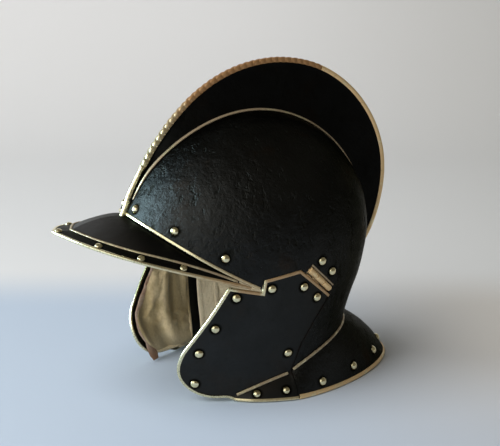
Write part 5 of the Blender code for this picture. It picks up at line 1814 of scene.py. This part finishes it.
hem_spots = list(foot_edge) + list(rear_edge[1:]) + list(reversed(top_edge[:-1]))
hem_places = [side_place(*spot) for spot in hem_spots[::2]]
hem = carried("cheek_hem_left", *laid(hem_places, CLOTH_DEPTH + 0.45 * MM),
              soft_strip(4.2 * MM, 2.0 * MM))
finished_pair(hem, CHEEK_LINEN, "lining_cloth")

# %% [markdown]
# ## The lining of the bowl
# The bowl is lined with eight gores of linen that meet under the crown and hang down over the
# ears and the nape. Each gore is a little full between its seams. The sheet is raised like the
# bowl, deeper in, settles between its seams, gets its thickness and is cut to its lower line.

# %% Line the bowl
LINING_DEPTH, GORES = 5.6 * MM, 8
LINING_COLUMNS, LINING_ROWS = 160, 76


def lining_low(angle):
    return -0.1 if math.sin(math.radians(angle)) > -0.45 else 0.1


def seam_nearness(angle):
    """1 on a seam between two gores, 0 midway."""
    return abs(math.cos(math.radians(angle) * GORES / 2))


def lining_place(u, v):
    angle = ring_angle(round(u * LINING_COLUMNS), LINING_COLUMNS)
    low = lining_low(angle)
    level = low + (1 - low) * v / 0.52 if v < 0.52 else 1 + (v - 0.52) / 0.48
    full = ((1 - seam_nearness(angle)**6) * min(1, (2 - level) / 0.4)
            * min(1, max(0.1, (level - 0.2) / 0.5)))
    crease = 0.7 * math.sin(math.radians(angle) * 27 + 2.2 * math.sin(level * 3)) * full
    return sunk_point(angle, min(2, level), LINING_DEPTH + (1.5 * full + 0.45 * crease) * MM)


lining = raised_sheet("bowl_lining", LINING_COLUMNS, LINING_ROWS, lining_place, sewn=True)


EAR_Y = -17.5                                          # front of the ear flaps
LINING_FOOT = ((0, 26), (6, 33), (14, 40), (30, 47), (60, 56), (90, 60), (160, 60))


def lining_outline(lift):
    """The lower line of the lining seen from the side, which is cut away below it."""
    brow = [(y, brow_at(y) + 4 + lift) for y in (-260, -120, -105, -90, -75, -60, -50, -40)]
    flap = [(EAR_Y + lift, 100 + lift), (EAR_Y + lift, 22 + lift)]
    return brow + flap + [(y, z + lift) for y, z in LINING_FOOT]


def sewn_down(vertex):
    y, z = (vertex.co.y - AXIS_Y) / MM, vertex.co.z / MM
    angle = math.degrees(math.atan2(vertex.co.y - AXIS_Y, vertex.co.x))
    low = brow_at(y) + 7 if y < -20 else np.interp(y, *zip(*lining_outline(3)))
    on_flap = abs(y - EAR_Y) < 4 and z < 104
    return z < low or z > 236 or on_flap or seam_nearness(angle) > 0.995


settled(lining, sewn_down, 0.03, 3.5 * MM)
thickened(lining, 1.4 * MM, even=False)
cut(lining, prism([(-260, -30)] + lining_outline(0) + [(160, -30)]))
smoothed(lining, 60)
finished(lining, SKULL_LINEN, "lining_cloth", "helmet", "skull_lining")

# %% [markdown]
# A linen tape binds the lower line of the lining, and narrow taped seams run up between the
# gores to a round patch under the crown.

# %% Tape, seams and crown patch
half_line = [(y, brow_at(y) + 4.3) for y in np.linspace(-117, -36, 34)] + [(EAR_Y, 99.5)]
half_line += along([(EAR_Y, 99.5), (EAR_Y, 22), *LINING_FOOT[:5], (84, 59.5)], 90)[1:]
half_places = [side_place(*spot) for spot in half_line]
half_places = [spot for spot in half_places if -89 < spot[0] < 88]
loop = half_places + [(90, level_at(90, 60 * MM))]
loop += [(180 - angle, level) for angle, level in reversed(half_places)]
loop.append((270, level_at(-90, brow_at(BROW_FRONT) * MM + 4.3 * MM)))
tape = carried("lining_tape", *laid(loop, LINING_DEPTH + 0.7 * MM),
               soft_strip(6.5 * MM, 2.6 * MM), closed=True)
finished(tape, SKULL_LINEN, "lining_cloth", "helmet")


def seam_foot(angle):
    """Level at which a seam behind the brow comes down to the tape."""
    ys, zs = zip(*(spot for spot in lining_outline(4.5) if spot[0] > -13.5))
    for level in np.arange(lining_low(angle) + 0.02, 1, 0.01):
        spot = sunk_point(angle, level, LINING_DEPTH)
        if spot.z / MM > np.interp((spot.y - AXIS_Y) / MM, ys, zs):
            return level


seams = []
for k in range(GORES):
    angle = 360 * (k + 0.5) / GORES - 90
    if seam_nearness(angle) < 0.9:
        angle += 180 / GORES
    forward = math.sin(math.radians(angle)) < -0.15
    low = brow_level(angle) + 0.06 if forward else seam_foot(angle)
    places = [(angle, low + (1.93 - low) * i / 40) for i in range(41)]
    seams.append(carried(f"seam_{k}", *laid(places, LINING_DEPTH + 2.0 * MM),
                         soft_strip(4.4 * MM, 1.3 * MM)))
finished(joined("lining_seams", seams), SKULL_LINEN, "lining_cloth", "helmet")


PATCH_COLUMNS = 48


def patch_place(u, v):
    angle = ring_angle(round(u * PATCH_COLUMNS), PATCH_COLUMNS) + 90
    return sunk_point(angle, 2 - 0.115 * max(v, 0.001), LINING_DEPTH + 2.8 * MM)


patch = raised_sheet("crown_patch", PATCH_COLUMNS, 8, patch_place, sewn=True)
in_edit(thickened(patch, 1.0 * MM), holes_filled)
finished(smoothed(patch, 50), SKULL_LINEN, "lining_cloth", "helmet")

# %% [markdown]
# ## Marks painted on the steel
# Three marks are painted on the points of the steel: a ring of dirt round each rivet, where
# polish and damp gather, painted shade along the joint of skull and cheekpieces, where the gap
# between them lies in shade, and a painted sheen on the front of the peak. The finishes read them
# by name.

# %% Mark the steel
def rivet_rings(obj, spots):
    tree = tree_of([point for point, scale in spots])

    def ring(point):
        spot, index, away = tree.find(point)
        return max(0.0, 1 - max(0.0, away - RIVET_R * spots[index][1]) / (2.6 * MM))
    marked(obj, "rivet_ring", ring)


rear_run = CHEEK_OUTLINE[CHEEK_OUTLINE.index(CHEEK_CORNERS[8][:2]):]
rear_line = laid([side_place(*spot) for spot in along(rear_run, 60)])[0]
rear_tree = tree_of(rear_line + [flip_x(point) for point in rear_line])
cheeks = [bpy.data.objects[f"cheek_{side}"] for side in SIDES]
for obj in (bowl, comb, peak):
    rivet_rings(obj, rivet_places["helmet"])
for obj in cheeks:
    rivet_rings(obj, rivet_places[obj.name])
for obj in (bowl, *cheeks):
    # painted shade along the joint of skull and cheekpieces
    marked(obj, "joint_shade", lambda point: max(0.0, 1 - rear_tree.find(point)[2] / (2.2 * MM)))
rim_tree = tree_of([row[0] for row in rim])


def peak_painted_sheen(point):
    """Painted sheen: paler in front, above the band and clear of it."""
    spot, index, away = rim_tree.find(point)
    width = band_width(abs(index - RIM_COUNT) / RIM_COUNT * PEAK_BRASS_END)
    return eased(away, width, width + 3 * MM) * eased(-point.y, 0.092, 0.150)


marked(peak, "painted_sheen", peak_painted_sheen)
print("marks painted on bowl, comb, peak and cheekpieces")

# %% [markdown]
# ## The setting
# The helmet stands on a pale sweep: a floor that curves up behind it into a wall. Its paper is
# painted with the light that falls on it: bluish on the left, warmer on the right, paler behind,
# and with painted shade on the right of the far part.

# %% Lay the sweep
LOOK_AZ = math.radians(65)
TOWARDS = Vector((math.sin(LOOK_AZ), -math.cos(LOOK_AZ), 0))
RIGHT = Vector((math.cos(LOOK_AZ), math.sin(LOOK_AZ), 0))
UP = Vector((0, 0, 1))
BEND_BACK, BEND_RADIUS, FLOOR_FORWARD, SWEEP_WIDE, SWEEP_RUN = 1.1, 1.4, 4.6, 18.0, 9.0


def sweep_place(u, v):
    """The floor comes first, then a quarter round, then the wall."""
    run = v * SWEEP_RUN - FLOOR_FORWARD - BEND_BACK
    turn = min(math.pi / 2, max(0.0, run / BEND_RADIUS))
    back = min(run, 0.0) + BEND_BACK + BEND_RADIUS * math.sin(turn)
    up = BEND_RADIUS - BEND_RADIUS * math.cos(turn) + max(0.0, run - BEND_RADIUS * math.pi / 2)
    across = RIGHT * (u - 0.5) * SWEEP_WIDE
    return Vector((0, AXIS_Y, 0)) + across - TOWARDS * back + UP * (up - 0.0002)


sweep = raised_sheet("sweep", 36, 300, sweep_place)
smoothed(sweep, 60)
paper = Finish("pale_paper")
mottled = paper.noise(0.5, 2.0, 0.4)
behind, beside = (paper.node("ShaderNodeVectorMath", {"operation": "DOT_PRODUCT"},
                             {0: paper.place(), 1: tuple(way)}, out="Value")
                  for way in (-TOWARDS, RIGHT))
# Painted light on the paper: bluish on the left, where the window's light falls, and warmer on the
# right.
painted_cool_light = paper.mixed(mottled, tint(0.48, 0.58, 0.72), tint(0.51, 0.60, 0.72))
painted_warm_light = paper.mixed(behind.between(-0.20, 0.10), tint(0.52, 0.56, 0.62), tint(0.61, 0.59, 0.56))
near = paper.mixed(beside.between(-0.05, 0.30), painted_cool_light, painted_warm_light)
# The far paper is painted paler, as the light on the wall, with painted shade on its right.
far = paper.mixed(behind.between(0.6, 2.2), tint(0.76, 0.78, 0.80), tint(0.90, 0.90, 0.91))
far = paper.mixed(beside.between(-0.1, 0.7) * 0.5, far, tint(0.62, 0.62, 0.60))
paper.sets(Base_Color=paper.mixed(behind.between(0.19, 0.36), near, far), Roughness=0.9)
dressed(sweep, paper.material)
sweep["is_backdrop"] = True
print("sweep of", len(sweep.data.polygons), "faces")

# %% [markdown]
# A window on the left is mirrored in the steel as a bluish sheen, and a large soft light from
# the left and in front models the bowl. Two more light the paper and the cloth alone, so that
# the black steel stays black.

# %% Light and camera
AIM, LOOK_EL, FAR = Vector((0, AXIS_Y, 0.14)), math.radians(13.5), 1.1


def away_from_aim(right, towards, up):
    """A point this far to the right of the aim, towards the camera and up."""
    return AIM + RIGHT * right + TOWARDS * towards + UP * up


def soft_light(name, spot, size, power, colour=(1, 1, 1), aim=(0, 0, 0)):
    lamp = bpy.data.lights.new(name, "AREA")
    lamp.shape, lamp.size, lamp.energy, lamp.color = "SQUARE", size, power, colour
    obj = bpy.data.objects.new(name, lamp)
    bpy.context.scene.collection.objects.link(obj)
    obj.location = away_from_aim(*spot)
    look = away_from_aim(*aim) - obj.location
    obj.rotation_euler = look.to_track_quat("-Z", "Y").to_euler()
    return obj


window = soft_light("window", (-1.35, -0.10, 0.22), 0.75, 38, (0.60, 0.85, 1.0))
window.visible_diffuse = False     # it is mirrored in the steel, and the others light the paper
soft_light("room", (-1.4, 1.6, 0.7), 2.4, 24, (1.0, 0.99, 0.94))
overhead = soft_light("overhead", (-1.5, 0.6, 2.2), 2.4, 70, aim=(0, -0.9, -0.14))
front = soft_light("front", (-1.2, 1.5, 0.3), 0.8, 11)
for lamp in (overhead, front):     # they light paper and cloth, and aren't mirrored in the steel
    lamp.visible_glossy = False
world = bpy.data.worlds.new("room")
world.use_nodes = True
world.node_tree.nodes["Background"].inputs["Color"].default_value = (0.30, 0.275, 0.22, 1)
world.node_tree.nodes["Background"].inputs["Strength"].default_value = 0.45
bpy.context.scene.world = world
bpy.context.scene.view_settings.view_transform = "Standard"

camera = bpy.data.objects.new("camera", bpy.data.cameras.new("camera"))
bpy.context.scene.collection.objects.link(camera)
camera.data.sensor_width, camera.data.lens = 36, 86.3
away = TOWARDS * math.cos(LOOK_EL) + UP * math.sin(LOOK_EL)
camera.location = AIM + away * FAR
camera.rotation_euler = away.to_track_quat("Z", "Y").to_euler()
bpy.context.scene.camera = camera
print("camera", round(camera.location.z, 3), "m above the floor")

# %% [markdown]
# ## The sizes
# The boxes of the measured helmet and of the finished one are printed, side by side. The
# finished helmet may stand only a little outside the measured one.

# %% Print both boxes
new_low, new_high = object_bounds()
for word, spans in (("measured", cad_high - cad_low), ("finished", new_high - new_low)):
    print(word, [round(span / MM, 1) for span in spans])
